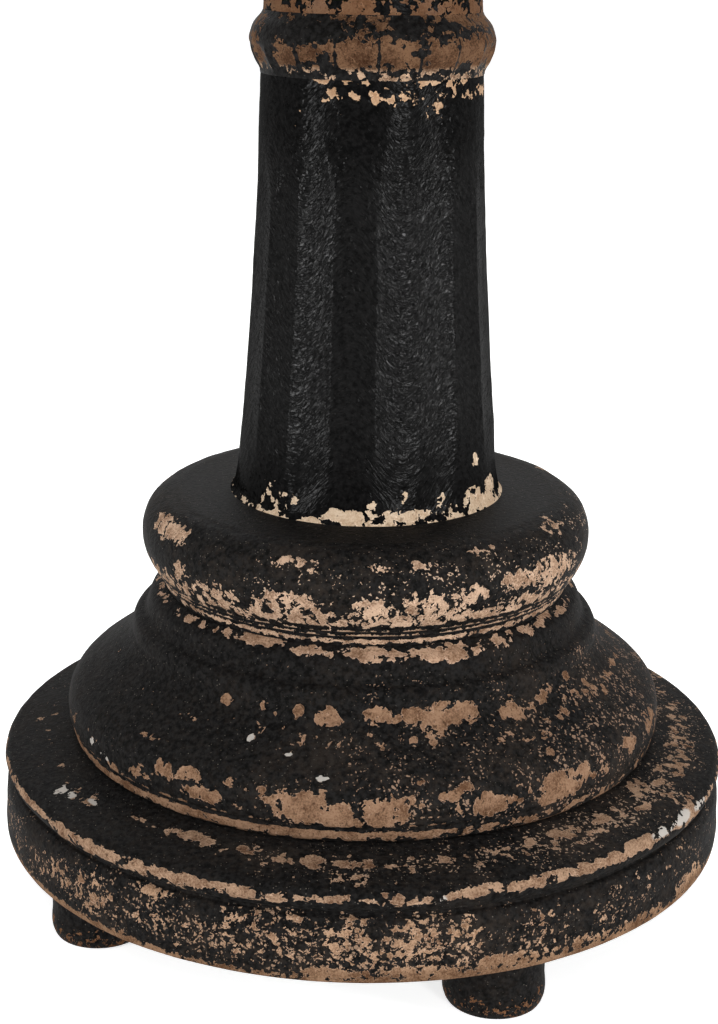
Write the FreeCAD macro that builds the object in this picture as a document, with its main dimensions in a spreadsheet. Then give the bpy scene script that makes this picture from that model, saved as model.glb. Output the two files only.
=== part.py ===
import FreeCAD, Part
import math
import os
import Sketcher

# A table lamp of turned wood on four peg feet, with its fittings and a fabric shade.
# The origin is on the table under the middle of the lamp, +Z is up and -Y is the front.

# Driving dimensions in millimetres and degrees
SIZES = {
    # Peg feet, at the corners of a rectangle
    "foot_diameter": 26.4,
    "foot_height": 18.0,
    "foot_tenon": 8.0,
    "foot_edge_round": 1.8,
    "foot_circle_radius": 84.8,
    "foot_right_turn": 24.0,
    "foot_left_turn": 58.3,
    "foot_socket_clearance": 0.05,
    # Turned wood, from the bottom up
    "plinth_radius": 103.6,
    "plinth_lower_height": 18.6,
    "plinth_upper_height": 9.6,
    "moulding_radius": 85.0,
    "moulding_height": 43.0,
    "torus_radius": 63.0,
    "torus_height": 26.6,
    "shaft_foot_radius": 37.2,
    "shaft_neck_radius": 29.6,
    "shaft_height": 114.2,
    "collar_radius": 32.6,
    "collar_height": 16.0,
    "upper_shaft_foot_radius": 28.9,
    "upper_shaft_neck_radius": 25.8,
    "upper_shaft_height": 104.0,
    "bead_radius": 30.4,
    "bead_height": 9.0,
    "capital_radius": 42.0,
    "capital_height": 25.0,
    "top_cap_radius": 35.5,
    "top_cap_height": 13.0,
    "wood_bore_clearance": 0.4,
    # Flutes carved in the shafts and facets on the collar
    "flute_count": 18,
    "flute_turn": -77.0,
    "flute_depth": 0.7,
    "flute_middle": 52.0,
    "flute_half_length": 40.0,
    "facet_depth": 0.55,
    "facet_middle": 4.6,
    "facet_half_length": 3.6,
    "upper_flute_depth": 0.6,
    "upper_flute_middle": 52.0,
    "upper_flute_half_length": 42.0,
    # Recess and fittings under the plinth
    "recess_radius": 26.0,
    "recess_depth": 12.0,
    "base_washer_radius": 17.0,
    "base_washer_thickness": 1.5,
    "lock_washer_radius": 8.6,
    "lock_washer_thickness": 1.4,
    "nut_flats": 14.0,
    "nut_height": 4.6,
    "pipe_diameter": 9.6,
    "pipe_bore": 6.6,
    "pipe_reach": 1.6,
    "thread_fit": 0.05,
    # Cord inlet at the back
    "cord_bore_radius": 3.1,
    "cord_height": 7.4,
    "bushing_radius": 4.3,
    "bushing_barrel": 11.0,
    "bushing_flange_radius": 6.4,
    "bushing_flange_thickness": 2.0,
    "bushing_seat_depth": 2.4,
    "bushing_fit": 0.1,
    # Ring, neck and harp saddle on the wood
    "check_ring_radius": 19.0,
    "check_ring_height": 5.0,
    "neck_radius": 7.5,
    "neck_height": 22.0,
    "saddle_thickness": 1.6,
    "saddle_width": 13.0,
    "saddle_flat": 11.0,
    "saddle_rise": 8.0,
    "saddle_end": 4.6,
    "saddle_post_height": 7.0,
    # Lampholder
    "holder_cap_hub_radius": 6.6,
    "holder_cap_hub_height": 5.0,
    "holder_cap_hub_side": 4.0,
    "holder_cap_cone_height": 12.0,
    "holder_cap_height": 19.5,
    "holder_cap_wall": 0.8,
    "holder_core_height": 22.0,
    "holder_core_lip": 0.85,
    "insulator_wall": 0.8,
    "insulator_reach": 3.0,
    "shell_wall": 0.6,
    "shell_reach": 2.0,
    "sleeve_fit": 0.05,
    "screw_shell_wall": 0.5,
    "screw_shell_height": 23.0,
    "screw_fit": 0.1,
    "contact_radius": 3.6,
    "contact_top_radius": 2.9,
    "contact_thickness": 1.4,
    # Switch knob on its spindle
    "spindle_radius": 2.0,
    "spindle_height": 15.0,
    "spindle_depth": 6.0,
    "spindle_fit": 0.06,
    "spindle_hole_clearance": 0.6,
    "knob_radius": 5.6,
    "knob_length": 11.0,
    "knob_gap": 2.2,
    "knob_chamfer": 1.2,
    # Bulb, whose cap narrows below its shoulder
    "bulb_cap_radius": 13.05,
    "bulb_cap_height": 26.0,
    "bulb_tip_radius": 4.4,
    "bulb_tip_height": 1.6,
    "bulb_cap_shoulder_radius": 12.0,
    "bulb_cap_shoulder_low": 3.9,
    "bulb_cap_shoulder_high": 5.2,
    "bulb_radius": 30.0,
    "bulb_glass_height": 80.0,
    "bulb_glass_wall": 0.8,
    "bulb_neck_radius": 12.6,
    "bulb_neck_height": 6.0,
    "bulb_shoulder_turn": 25.0,
    # Harp
    "wire_radius": 1.6,
    "tube_radius": 3.2,
    "tube_length": 14.0,
    "tube_fit": 0.08,
    "harp_post_gap": 4.2,
    "harp_bulb_gap": 23.0,
    "harp_leg": 23.0,
    "harp_swell_height": 46.0,
    "harp_corner_radius": 40.0,
    "harp_height": 215.0,
    "harp_hub_radius": 6.5,
    "harp_hub_height": 5.0,
    "stud_radius": 3.15,
    "stud_height": 14.0,
    "stud_flange_radius": 8.0,
    "stud_flange_thickness": 1.5,
    # Shade
    "spider_washer_radius": 13.0,
    "spider_washer_thickness": 1.6,
    "spider_arm_radius": 1.5,
    "spider_arm_count": 3,
    "spider_drop": 14.0,
    "spider_fit": 0.08,
    "spider_seat_gap": 0.05,
    "ring_wire_radius": 1.6,
    "shade_top_radius": 140.0,
    "shade_bottom_radius": 185.0,
    "shade_height": 245.0,
    "shade_edge_margin": 1.6,
    "cover_thickness": 0.6,
    "liner_thickness": 0.5,
    "trim_thickness": 0.6,
    "trim_width": 11.0,
    # Finial
    "finial_radius": 8.5,
    "finial_height": 32.0,
    "finial_bore_spare": 0.8,
}

# Places and sizes that follow from the driving dimensions
PLACES = {
    "foot_radius": "Sizes.foot_diameter / 2",
    "pipe_radius": "Sizes.pipe_diameter / 2",
    "pipe_bore_radius": "Sizes.pipe_bore / 2",
    "nut_corner_radius": "Sizes.nut_flats / 2 / cos(30)",
    "foot_length": "Sizes.foot_height + Sizes.foot_tenon",
    "foot_socket_radius": "Sizes.foot_diameter / 2 + Sizes.foot_socket_clearance",
    "foot_right_x": "Sizes.foot_circle_radius * sin(Sizes.foot_right_turn)",
    "foot_right_y": "Sizes.foot_circle_radius * cos(Sizes.foot_right_turn)",
    "foot_left_x": "Sizes.foot_circle_radius * sin(Sizes.foot_left_turn)",
    "foot_left_y": "Sizes.foot_circle_radius * cos(Sizes.foot_left_turn)",
    "plinth_upper_z": "Sizes.foot_height + Sizes.plinth_lower_height",
    "moulding_z": "plinth_upper_z + Sizes.plinth_upper_height",
    "torus_z": "moulding_z + Sizes.moulding_height",
    "shaft_z": "torus_z + Sizes.torus_height",
    "collar_z": "shaft_z + Sizes.shaft_height",
    "upper_shaft_z": "collar_z + Sizes.collar_height",
    "bead_z": "upper_shaft_z + Sizes.upper_shaft_height",
    "capital_z": "bead_z + Sizes.bead_height",
    "top_cap_z": "capital_z + Sizes.capital_height",
    "wood_top_z": "top_cap_z + Sizes.top_cap_height",
    "wood_bore": "Sizes.pipe_diameter / 2 + Sizes.wood_bore_clearance",
    "thread_bore": "Sizes.pipe_diameter / 2 + Sizes.thread_fit",
    "base_washer_z": "Sizes.foot_height + Sizes.recess_depth - Sizes.base_washer_thickness",
    "lock_washer_z": "base_washer_z - Sizes.lock_washer_thickness",
    "base_nut_z": "lock_washer_z - Sizes.nut_height",
    "pipe_z": "base_nut_z - Sizes.pipe_reach",
    "cord_z": "Sizes.foot_height + Sizes.cord_height",
    "bushing_seat_y": "Sizes.plinth_radius - Sizes.bushing_seat_depth",
    "bushing_y": "bushing_seat_y - Sizes.bushing_barrel",
    "bushing_length": "Sizes.bushing_barrel + Sizes.bushing_flange_thickness",
    "bushing_hole_radius": "Sizes.bushing_radius + Sizes.bushing_fit",
    "bushing_seat_radius": "Sizes.bushing_flange_radius + Sizes.bushing_fit",
    "neck_z": "wood_top_z + Sizes.check_ring_height",
    "saddle_z": "neck_z + Sizes.neck_height",
    "saddle_nut_z": "saddle_z + Sizes.saddle_thickness",
    "holder_z": "saddle_nut_z + Sizes.nut_height",
    "pipe_length": "holder_z + Sizes.holder_cap_hub_height - pipe_z",
    # Lampholder, worked out from the bulb's cap outwards
    "screw_bore": "Sizes.bulb_cap_radius + Sizes.screw_fit",
    "screw_radius": "screw_bore + Sizes.screw_shell_wall",
    "core_radius": "screw_radius + Sizes.holder_core_lip",
    "insulator_bore": "core_radius + Sizes.sleeve_fit",
    "insulator_radius": "insulator_bore + Sizes.insulator_wall",
    "shell_bore": "insulator_radius + Sizes.sleeve_fit",
    "shell_radius": "shell_bore + Sizes.shell_wall",
    "holder_cap_bore": "shell_radius + Sizes.sleeve_fit",
    "holder_cap_radius": "holder_cap_bore + Sizes.holder_cap_wall",
    "holder_floor": "Sizes.holder_cap_hub_height + Sizes.holder_cap_wall",
    "holder_seat": "Sizes.holder_cap_cone_height + Sizes.holder_cap_wall",
    "holder_seat_z": "holder_z + holder_seat",
    "screw_shell_z": "holder_seat_z + Sizes.holder_core_height",
    "insulator_height": "Sizes.holder_core_height + Sizes.screw_shell_height + Sizes.insulator_reach",
    "shell_height": "insulator_height + Sizes.shell_reach",
    "contact_top_z": "screw_shell_z + Sizes.contact_thickness",
    "spindle_z": "holder_seat_z + Sizes.spindle_height",
    "spindle_bore": "Sizes.spindle_radius + Sizes.spindle_fit",
    "spindle_hole_radius": "Sizes.spindle_radius + Sizes.spindle_hole_clearance",
    "spindle_end_x": "core_radius - Sizes.spindle_depth",
    "knob_start": "shell_radius + Sizes.knob_gap - spindle_end_x",
    "knob_end": "knob_start + Sizes.knob_length",
    "bulb_inner_radius": "Sizes.bulb_radius - Sizes.bulb_glass_wall",
    "bulb_inner_neck_radius": "Sizes.bulb_neck_radius - Sizes.bulb_glass_wall",
    "bulb_centre": "Sizes.bulb_glass_height - Sizes.bulb_radius",
    "bulb_inner_top": "Sizes.bulb_glass_height - Sizes.bulb_glass_wall",
    "bulb_shoulder_radius": "Sizes.bulb_radius * cos(Sizes.bulb_shoulder_turn)",
    "bulb_shoulder": "bulb_centre - Sizes.bulb_radius * sin(Sizes.bulb_shoulder_turn)",
    "bulb_crown_radius": "Sizes.bulb_radius * cos(45)",
    "bulb_crown": "bulb_centre + Sizes.bulb_radius * sin(45)",
    "bulb_inner_shoulder_radius": "bulb_inner_radius * cos(Sizes.bulb_shoulder_turn)",
    "bulb_inner_shoulder": "bulb_centre - bulb_inner_radius * sin(Sizes.bulb_shoulder_turn)",
    "bulb_inner_crown_radius": "bulb_inner_radius * cos(45)",
    "bulb_inner_crown": "bulb_centre + bulb_inner_radius * sin(45)",
    "bulb_glass_z": "contact_top_z + Sizes.bulb_cap_height",
    # Harp
    "tube_bore": "Sizes.wire_radius + Sizes.tube_fit",
    "harp_foot_y": "holder_cap_radius + Sizes.harp_post_gap + Sizes.tube_radius",
    "saddle_tip_y": "harp_foot_y + Sizes.saddle_end",
    "saddle_step_y": "harp_foot_y - Sizes.saddle_end",
    "saddle_mitre": "Sizes.saddle_thickness * tan(22.5)",
    "saddle_step_top_y": "saddle_step_y - saddle_mitre",
    "saddle_flat_top_y": "Sizes.saddle_flat - saddle_mitre",
    "saddle_shelf": "Sizes.saddle_rise + Sizes.saddle_thickness",
    "saddle_post_top": "saddle_shelf + Sizes.saddle_post_height",
    "saddle_shelf_z": "saddle_z + saddle_shelf",
    "harp_z": "saddle_z + saddle_post_top",
    "harp_side_y": "Sizes.bulb_radius + Sizes.harp_bulb_gap",
    "swell_middle_y": "(harp_foot_y + harp_side_y) / 2",
    "swell_middle": "Sizes.harp_leg + Sizes.harp_swell_height / 2",
    "swell_top": "Sizes.harp_leg + Sizes.harp_swell_height",
    "swell_spread": "harp_side_y - harp_foot_y",
    "swell_radius": "(swell_spread ^ 2 + Sizes.harp_swell_height ^ 2) / (4 * swell_spread)",
    "swell_half_turn": "atan(swell_spread / Sizes.harp_swell_height)",
    "swell_lean": "swell_radius * (1 - cos(swell_half_turn))",
    "swell_climb": "swell_radius * sin(swell_half_turn)",
    "swell_first_y": "harp_foot_y + swell_lean",
    "swell_first": "Sizes.harp_leg + swell_climb",
    "swell_second_y": "harp_side_y - swell_lean",
    "swell_second": "swell_top - swell_climb",
    "harp_corner_start": "Sizes.harp_height - Sizes.harp_corner_radius",
    "harp_corner_y": "harp_side_y - Sizes.harp_corner_radius",
    "harp_corner_middle_y": "harp_corner_y + Sizes.harp_corner_radius * cos(45)",
    "harp_corner_middle": "harp_corner_start + Sizes.harp_corner_radius * sin(45)",
    "harp_hub_bottom": "Sizes.harp_height - Sizes.harp_hub_height / 2",
    "stud_z": "harp_z + Sizes.harp_height + Sizes.harp_hub_height / 2",
    "stud_top": "Sizes.stud_flange_thickness + Sizes.stud_height",
    "washer_z": "stud_z + Sizes.stud_flange_thickness",
    "washer_bore": "Sizes.stud_radius + Sizes.spider_fit",
    "finial_z": "washer_z + Sizes.spider_washer_thickness",
    "finial_bore": "Sizes.stud_radius + Sizes.thread_fit",
    "finial_bore_depth": "Sizes.stud_height - Sizes.spider_washer_thickness + Sizes.finial_bore_spare",
    # Shade, whose wall leans in by the slope for each unit of height
    "shade_slope": "(Sizes.shade_bottom_radius - Sizes.shade_top_radius) / Sizes.shade_height",
    "shade_lean": "atan(shade_slope)",
    "arm_z": "washer_z + Sizes.spider_washer_thickness / 2",
    "ring_z": "arm_z + Sizes.spider_drop",
    "shade_top_z": "ring_z + Sizes.ring_wire_radius + Sizes.shade_edge_margin",
    "shade_z": "shade_top_z - Sizes.shade_height",
    "cover_bottom_bore": "Sizes.shade_bottom_radius - Sizes.cover_thickness",
    "cover_top_bore": "Sizes.shade_top_radius - Sizes.cover_thickness",
    "liner_bottom_bore": "cover_bottom_bore - Sizes.liner_thickness",
    "liner_top_bore": "cover_top_bore - Sizes.liner_thickness",
    "ring_edge": "Sizes.ring_wire_radius + Sizes.shade_edge_margin",
    "ring_inset": "Sizes.ring_wire_radius / cos(shade_lean) + Sizes.spider_seat_gap",
    "bottom_ring_z": "shade_z + ring_edge",
    "top_ring_radius": "liner_top_bore + shade_slope * ring_edge - ring_inset",
    "bottom_ring_radius": "liner_bottom_bore - shade_slope * ring_edge - ring_inset",
    "trim_bottom_radius": "Sizes.shade_bottom_radius + Sizes.trim_thickness",
    "trim_top_radius": "Sizes.shade_top_radius + Sizes.trim_thickness",
    "trim_lean": "shade_slope * Sizes.trim_width",
    "low_trim_upper_bore": "Sizes.shade_bottom_radius - trim_lean",
    "low_trim_upper_radius": "trim_bottom_radius - trim_lean",
    "high_trim_lower_bore": "Sizes.shade_top_radius + trim_lean",
    "high_trim_lower_radius": "trim_top_radius + trim_lean",
    "high_trim_z": "shade_top_z - Sizes.trim_width",
    "arm_start": "Sizes.spider_washer_radius - Sizes.spider_arm_radius",
    "arm_run": "top_ring_radius - Sizes.ring_wire_radius - Sizes.spider_seat_gap - arm_start",
    "arm_length": "sqrt(arm_run ^ 2 + Sizes.spider_drop ^ 2)",
    "arm_tilt": "acos(Sizes.spider_drop / arm_length)",
}

# Rims of the turned pieces, as shares of the piece's radius and height from the bottom up.
# A pair is a corner, and a list of two pairs is an arc: a point on it, then its end.
PLINTH_LOWER_SHARES = [
    (0.992, 0.0),
    [(0.9985, 0.02), (1.0, 0.07)],
    (0.996, 0.65),
    [(0.991, 0.84), (0.981, 0.925)],
    (0.969, 0.946),
    (0.969, 1.0),
]
PLINTH_UPPER_SHARES = [
    (0.969, 0.0),
    [(0.990, 0.2), (0.998, 0.42)],
    [(0.990, 0.62), (0.948, 0.76)],
    (0.796, 1.0),
]
MOULDING_SHARES = [
    (0.970, 0.0),
    (0.986, 0.028),
    [(1.0, 0.16), (0.979, 0.32)],
    [(0.949, 0.384), (0.908, 0.442)],
    [(0.840, 0.543), (0.788, 0.637)],
    (0.779, 0.672),
    (0.779, 0.716),
    [(0.764, 0.781), (0.732, 0.833)],
    (0.730, 0.856),
    [(0.711, 0.938), (0.668, 1.0)],
]
TORUS_SHARES = [
    (0.902, 0.0),
    (0.914, 0.086),
    [(0.972, 0.31), (1.0, 0.594)],
    [(0.962, 0.85), (0.840, 1.0)],
]
COLLAR_SHARES = [
    (0.911, 0.0),
    [(0.962, 0.2), (1.0, 0.5)],
    [(0.970, 0.78), (0.895, 0.95)],
    (0.886, 1.0),
]
BEAD_SHARES = [
    (0.86, 0.0),
    [(1.0, 0.5), (0.86, 1.0)],
]
CAPITAL_SHARES = [
    (0.614, 0.0),
    [(0.71, 0.44), (0.92, 0.66)],
    (0.965, 0.70),
    [(1.0, 0.85), (0.965, 1.0)],
]
TOP_CAP_SHARES = [
    (1.0, 0.0),
    [(0.90, 0.46), (0.62, 0.80)],
    (0.59, 1.0),
]
CHECK_RING_SHARES = [
    (1.0, 0.0),
    [(0.96, 0.6), (0.80, 1.0)],
]
FINIAL_SHARES = [
    (0.72, 0.0),
    (0.72, 0.08),
    [(0.50, 0.16), (0.62, 0.30)],
    [(1.0, 0.58), (0.60, 0.90)],
    (0.36, 1.0),
    (0.0, 1.0),
]

# Heights of a fluted shaft's sections, as shares of half a flute from its middle
FLUTE_LEVEL_SHARES = [-1.0, -0.7, -0.35, 0.0, 0.35, 0.7, 1.0]
# The power of the height left above that a shaft's radius follows
TAPER_POWER_SHARE = 1.3

doc = FreeCAD.newDocument("table_lamp")


def fill_sheet(name, cells):
    """A sheet with an alias and a value or a formula in each row."""
    sheet = doc.addObject("Spreadsheet::Sheet", name)
    for row, (alias, content) in enumerate(cells.items(), start=1):
        sheet.set(f"A{row}", alias)
        sheet.set(f"B{row}", f"={content}" if isinstance(content, str) else str(content))
        sheet.setAlias(f"B{row}", alias)
    return sheet


sizes = fill_sheet("Sizes", SIZES)
doc.recompute()
places = fill_sheet("Places", PLACES)
doc.recompute()


def bound(name, share=1):
    """The expression that binds a dimension to a named size, or to a share of it."""
    cell = f"Sizes.{name}" if name in SIZES else f"Places.{name}"
    return cell if share == 1 else f"{cell} * {share}"


def value(name, share=1):
    """The same dimension as a number."""
    sheet = sizes if name in SIZES else places
    return float(sheet.get(name)) * share


def number(spot):
    """A coordinate as a number: zero, a name, or a name and a share."""
    if spot == 0:
        return 0.0
    return value(*spot) if isinstance(spot, tuple) else value(spot)


def expression(spot):
    """A coordinate as an expression."""
    return bound(*spot) if isinstance(spot, tuple) else bound(spot)


def vector(corner):
    """A corner of a sketch as a vector."""
    return FreeCAD.Vector(number(corner[0]), number(corner[1]), 0)


def hold(sketch, geometry, end, corner):
    """Hold one end or the centre of an edge at a corner."""
    for kind, axis, spot in (("DistanceX", -2, corner[0]), ("DistanceY", -1, corner[1])):
        if spot == 0:
            sketch.addConstraint(Sketcher.Constraint("PointOnObject", geometry, end, axis))
        else:
            constraint = Sketcher.Constraint(kind, geometry, end, number(spot))
            index = sketch.addConstraint(constraint)
            sketch.setExpression(f"Constraints[{index}]", expression(spot))


def draw_line(sketch, start, end):
    """A straight edge between two corners."""
    geometry = sketch.addGeometry(Part.LineSegment(vector(start), vector(end)), False)
    hold(sketch, geometry, 1, start)
    hold(sketch, geometry, 2, end)


def draw_arc(sketch, start, through, end):
    """An arc between two corners and through a third."""
    geometry = sketch.addGeometry(Part.Arc(vector(start), vector(through), vector(end)), False)
    first = sketch.getPoint(geometry, 1)
    forwards = first.distanceToPoint(vector(start)) < first.distanceToPoint(vector(end))
    hold(sketch, geometry, 1, start if forwards else end)
    hold(sketch, geometry, 2, end if forwards else start)
    mark = sketch.addGeometry(Part.Point(vector(through)), True)
    hold(sketch, mark, 1, through)
    sketch.addConstraint(Sketcher.Constraint("PointOnObject", mark, 1, geometry))


def draw(sketch, steps, closed=True):
    """Edges from corner to corner. A step is a corner, or an arc as a list of through point and end."""
    corners = [step[1] if isinstance(step, list) else step for step in steps]
    for index in range(0 if closed else 1, len(steps)):
        if isinstance(steps[index], list):
            draw_arc(sketch, corners[index - 1], steps[index][0], corners[index])
        else:
            draw_line(sketch, corners[index - 1], corners[index])


def draw_circle(sketch, radius, centre=(0, 0)):
    """A circle round a corner."""
    axis = FreeCAD.Vector(0, 0, 1)
    geometry = sketch.addGeometry(Part.Circle(vector(centre), axis, number(radius)), False)
    hold(sketch, geometry, 3, centre)
    index = sketch.addConstraint(Sketcher.Constraint("Radius", geometry, number(radius)))
    sketch.setExpression(f"Constraints[{index}]", expression(radius))


pieces = []


def new_body(label, up=None):
    """An empty body for a piece, placed at a height."""
    body = doc.addObject("PartDesign::Body", label)
    body.Label = label
    if up:
        body.setExpression("Placement.Base.z", bound(up))
    pieces.append(body)
    return body


def origin_feature(body, role):
    """The body's own origin plane or axis with this role."""
    return [feature for feature in body.Origin.OriginFeatures if feature.Role == role][0]


def new_sketch(body, name, plane, offset=None, share=1):
    """A sketch on one of the body's origin planes, or at an offset from it."""
    sketch = body.newObject("Sketcher::SketchObject", name)
    sketch.AttachmentSupport = (origin_feature(body, plane), [""])
    sketch.MapMode = "FlatFace"
    if offset:
        sketch.setExpression("AttachmentOffset.Base.z", bound(offset, share))
    return sketch


def turned(label, steps, up=None):
    """A piece turned about the vertical axis from its outline."""
    body = new_body(label, up)
    sketch = new_sketch(body, f"{label}_outline", "XZ_Plane")
    draw(sketch, steps)
    turning = body.newObject("PartDesign::Revolution", f"{label}_turning")
    turning.Profile = sketch
    turning.ReferenceAxis = (sketch, ["V_Axis"])
    turning.Angle = 360
    doc.recompute()
    return body


def rim(shares, radius, height):
    """The steps of a rim, from its shares of a radius and a height."""
    def corner(pair):
        across, up = pair
        return ((radius, across) if across else 0, (height, up) if up else 0)

    return [[corner(pair) for pair in step] if isinstance(step, list) else corner(step)
            for step in shares]


def turned_block(label, shares, radius, height, bore, up):
    """A turned piece with a straight bore through it."""
    return turned(label, [(bore, 0)] + rim(shares, radius, height) + [(bore, height)], up)


def washer(label, radius, bore, thickness, up):
    """A flat ring or a tube."""
    return turned(label, [(bore, 0), (radius, 0), (radius, thickness), (bore, thickness)], up)


def pad(body, sketch, length, midplane=False):
    """Raise a sketch, upwards or to both sides."""
    raised = body.newObject("PartDesign::Pad", f"{sketch.Name}_pad")
    raised.Profile = sketch
    raised.Midplane = midplane
    raised.setExpression("Length", bound(length))
    doc.recompute()
    return raised


def pocket(body, sketch, depth=None, reverse=False):
    """Cut a sketch into a body, to a depth or right through, and see that it removed something."""
    before = body.Shape.Volume
    cut = body.newObject("PartDesign::Pocket", f"{sketch.Name}_pocket")
    cut.Profile = sketch
    cut.Reversed = reverse
    if depth:
        cut.setExpression("Length", bound(depth))
    else:
        cut.Type = "ThroughAll"
    doc.recompute()
    if body.Shape.Volume >= before:
        raise ValueError(f"{sketch.Name} cuts nothing")
    return cut


def polar_copies(body, feature, count):
    """Repeat a feature of a body round the vertical axis."""
    pattern = body.newObject("PartDesign::PolarPattern", f"{feature.Name}_copies")
    pattern.Originals = [feature]
    pattern.Axis = (origin_feature(body, "Z_Axis"), [""])
    pattern.Angle = 360
    pattern.setExpression("Occurrences", bound(count))
    pattern.Refine = False
    body.Tip = pattern
    doc.recompute()


def cylinder(name, radius, height, up=None):
    """A plain upright cylinder."""
    solid = doc.addObject("Part::Cylinder", name)
    solid.setExpression("Radius", bound(radius))
    solid.setExpression("Height", bound(height))
    if up:
        solid.setExpression("Placement.Base.z", bound(up))
    return solid


def cut(label, base, tool):
    """A piece made by cutting one solid with another."""
    piece = doc.addObject("Part::Cut", label)
    piece.Label = label
    piece.Base = base
    piece.Tool = tool
    pieces.append(piece)
    return piece


def girth(body, height):
    """The outer radius of a turned body at a height above its own bottom."""
    wires = body.Shape.slice(FreeCAD.Vector(0, 0, 1), body.Placement.Base.z + height)
    return max(wire.BoundBox.XMax for wire in wires)


def flute_section(name, radius, depth, up):
    """A closed ring of arcs, one for each flute, drawn in by the depth at its middle."""
    count = int(value("flute_count"))
    half_step = math.pi / count

    def spot(turn, reach):
        return FreeCAD.Vector(reach * math.cos(turn), reach * math.sin(turn), up)

    arcs = [Part.Arc(
        spot(2 * half_step * flute - half_step, radius), spot(2 * half_step * flute, radius - depth),
        spot(2 * half_step * flute + half_step, radius)).toShape() for flute in range(count)]
    ring = doc.addObject("Part::Feature", name)
    ring.Shape = Part.Wire(arcs)
    return ring


def fluted_shaft(label, foot, neck, height, middle, half_length, depth, up):
    """A tapered shaft lofted through fluted sections, with a straight bore.

    The radius falls from foot to neck as a power of the height that is left, and a flute's depth
    falls from its middle to its ends as a parabola.
    """
    half, centre, full = value(half_length), value(middle), value(height)
    levels = [0] + [centre + half * share for share in FLUTE_LEVEL_SHARES] + [full]
    sections = []
    for number, level in enumerate(levels):
        left = (1 - level / full) ** TAPER_POWER_SHARE
        radius = value(neck) + (value(foot) - value(neck)) * left
        drawn_in = value(depth) * max(0, 1 - ((level - centre) / half) ** 2)
        sections.append(flute_section(f"{label}_section_{number}", radius, drawn_in, level))
    loft = doc.addObject("Part::Loft", f"{label}_loft")
    loft.Sections = sections
    loft.Solid = True
    bore = cylinder(f"{label}_bore", "wood_bore", height)
    shaft = cut(label, loft, bore)
    doc.recompute()
    shaft.setExpression("Placement.Base.z", bound(up))
    shaft.setExpression("Placement.Rotation.Angle", bound("flute_turn"))


def cut_facets(body, middle, half_length, depth):
    """Flat facets round a body, each square to the surface at its middle."""
    height, half = value(middle), value(half_length)
    low, near, high = (girth(body, height + step) for step in (-half, 0, half))
    lean = math.atan((low - high) / (2 * half))
    sketch = new_sketch(body, f"{body.Label}_facet", "YZ_Plane")
    sketch.AttachmentOffset = FreeCAD.Placement(
        FreeCAD.Vector(
            0, height - value(depth, math.sin(lean)), near - value(depth, math.cos(lean))),
        FreeCAD.Rotation(FreeCAD.Vector(1, 0, 0), -math.degrees(lean)))
    draw_circle(sketch, "collar_height")
    facet = pocket(body, sketch, reverse=True)
    polar_copies(body, facet, "flute_count")
    body.setExpression("Placement.Rotation.Angle", bound("flute_turn"))


def feet():
    """Four turned pegs, each with its tenon in the plinth."""
    for label, name, across, along in (
            ("foot_front_right", "foot_right", 1, -1), ("foot_back_left", "foot_right", -1, 1),
            ("foot_front_left", "foot_left", -1, -1), ("foot_back_right", "foot_left", 1, 1)):
        body = new_body(label)
        sketch = new_sketch(body, f"{label}_section", "XY_Plane")
        draw_circle(sketch, "foot_radius")
        peg = pad(body, sketch, "foot_length")
        low_edges = [f"Edge{number}" for number, edge in enumerate(peg.Shape.Edges, start=1)
                     if edge.BoundBox.ZMax < value("foot_edge_round")]
        rounding = body.newObject("PartDesign::Fillet", f"{label}_rounding")
        rounding.Base = (peg, low_edges)
        rounding.setExpression("Radius", bound("foot_edge_round"))
        body.setExpression("Placement.Base.x", bound(f"{name}_x", across))
        body.setExpression("Placement.Base.y", bound(f"{name}_y", along))


def plinth():
    """The two tiers, the lower one with foot sockets, a recess and a cord inlet at the back."""
    lower = turned_block("plinth_lower", PLINTH_LOWER_SHARES, "plinth_radius", "plinth_lower_height",
                         "wood_bore", "foot_height")
    for number, (name, across, along) in enumerate((
            ("foot_right", 1, -1), ("foot_right", -1, 1), ("foot_left", -1, -1), ("foot_left", 1, 1))):
        socket = new_sketch(lower, f"foot_socket_{number}", "XY_Plane")
        draw_circle(socket, "foot_socket_radius", ((f"{name}_x", across), (f"{name}_y", along)))
        pocket(lower, socket, "foot_tenon", reverse=True)
    recess = new_sketch(lower, "recess_outline", "XY_Plane")
    draw_circle(recess, "recess_radius")
    pocket(lower, recess, "recess_depth", reverse=True)
    inlet = new_sketch(lower, "cord_inlet_outline", "XZ_Plane")
    draw_circle(inlet, "bushing_hole_radius", (0, "cord_height"))
    pocket(lower, inlet)
    seat = new_sketch(lower, "bushing_seat_outline", "XZ_Plane", "bushing_seat_y", -1)
    draw_circle(seat, "bushing_seat_radius", (0, "cord_height"))
    pocket(lower, seat)
    turned_block("plinth_upper", PLINTH_UPPER_SHARES, "plinth_radius", "plinth_upper_height",
                 "wood_bore", "plinth_upper_z")


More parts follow.
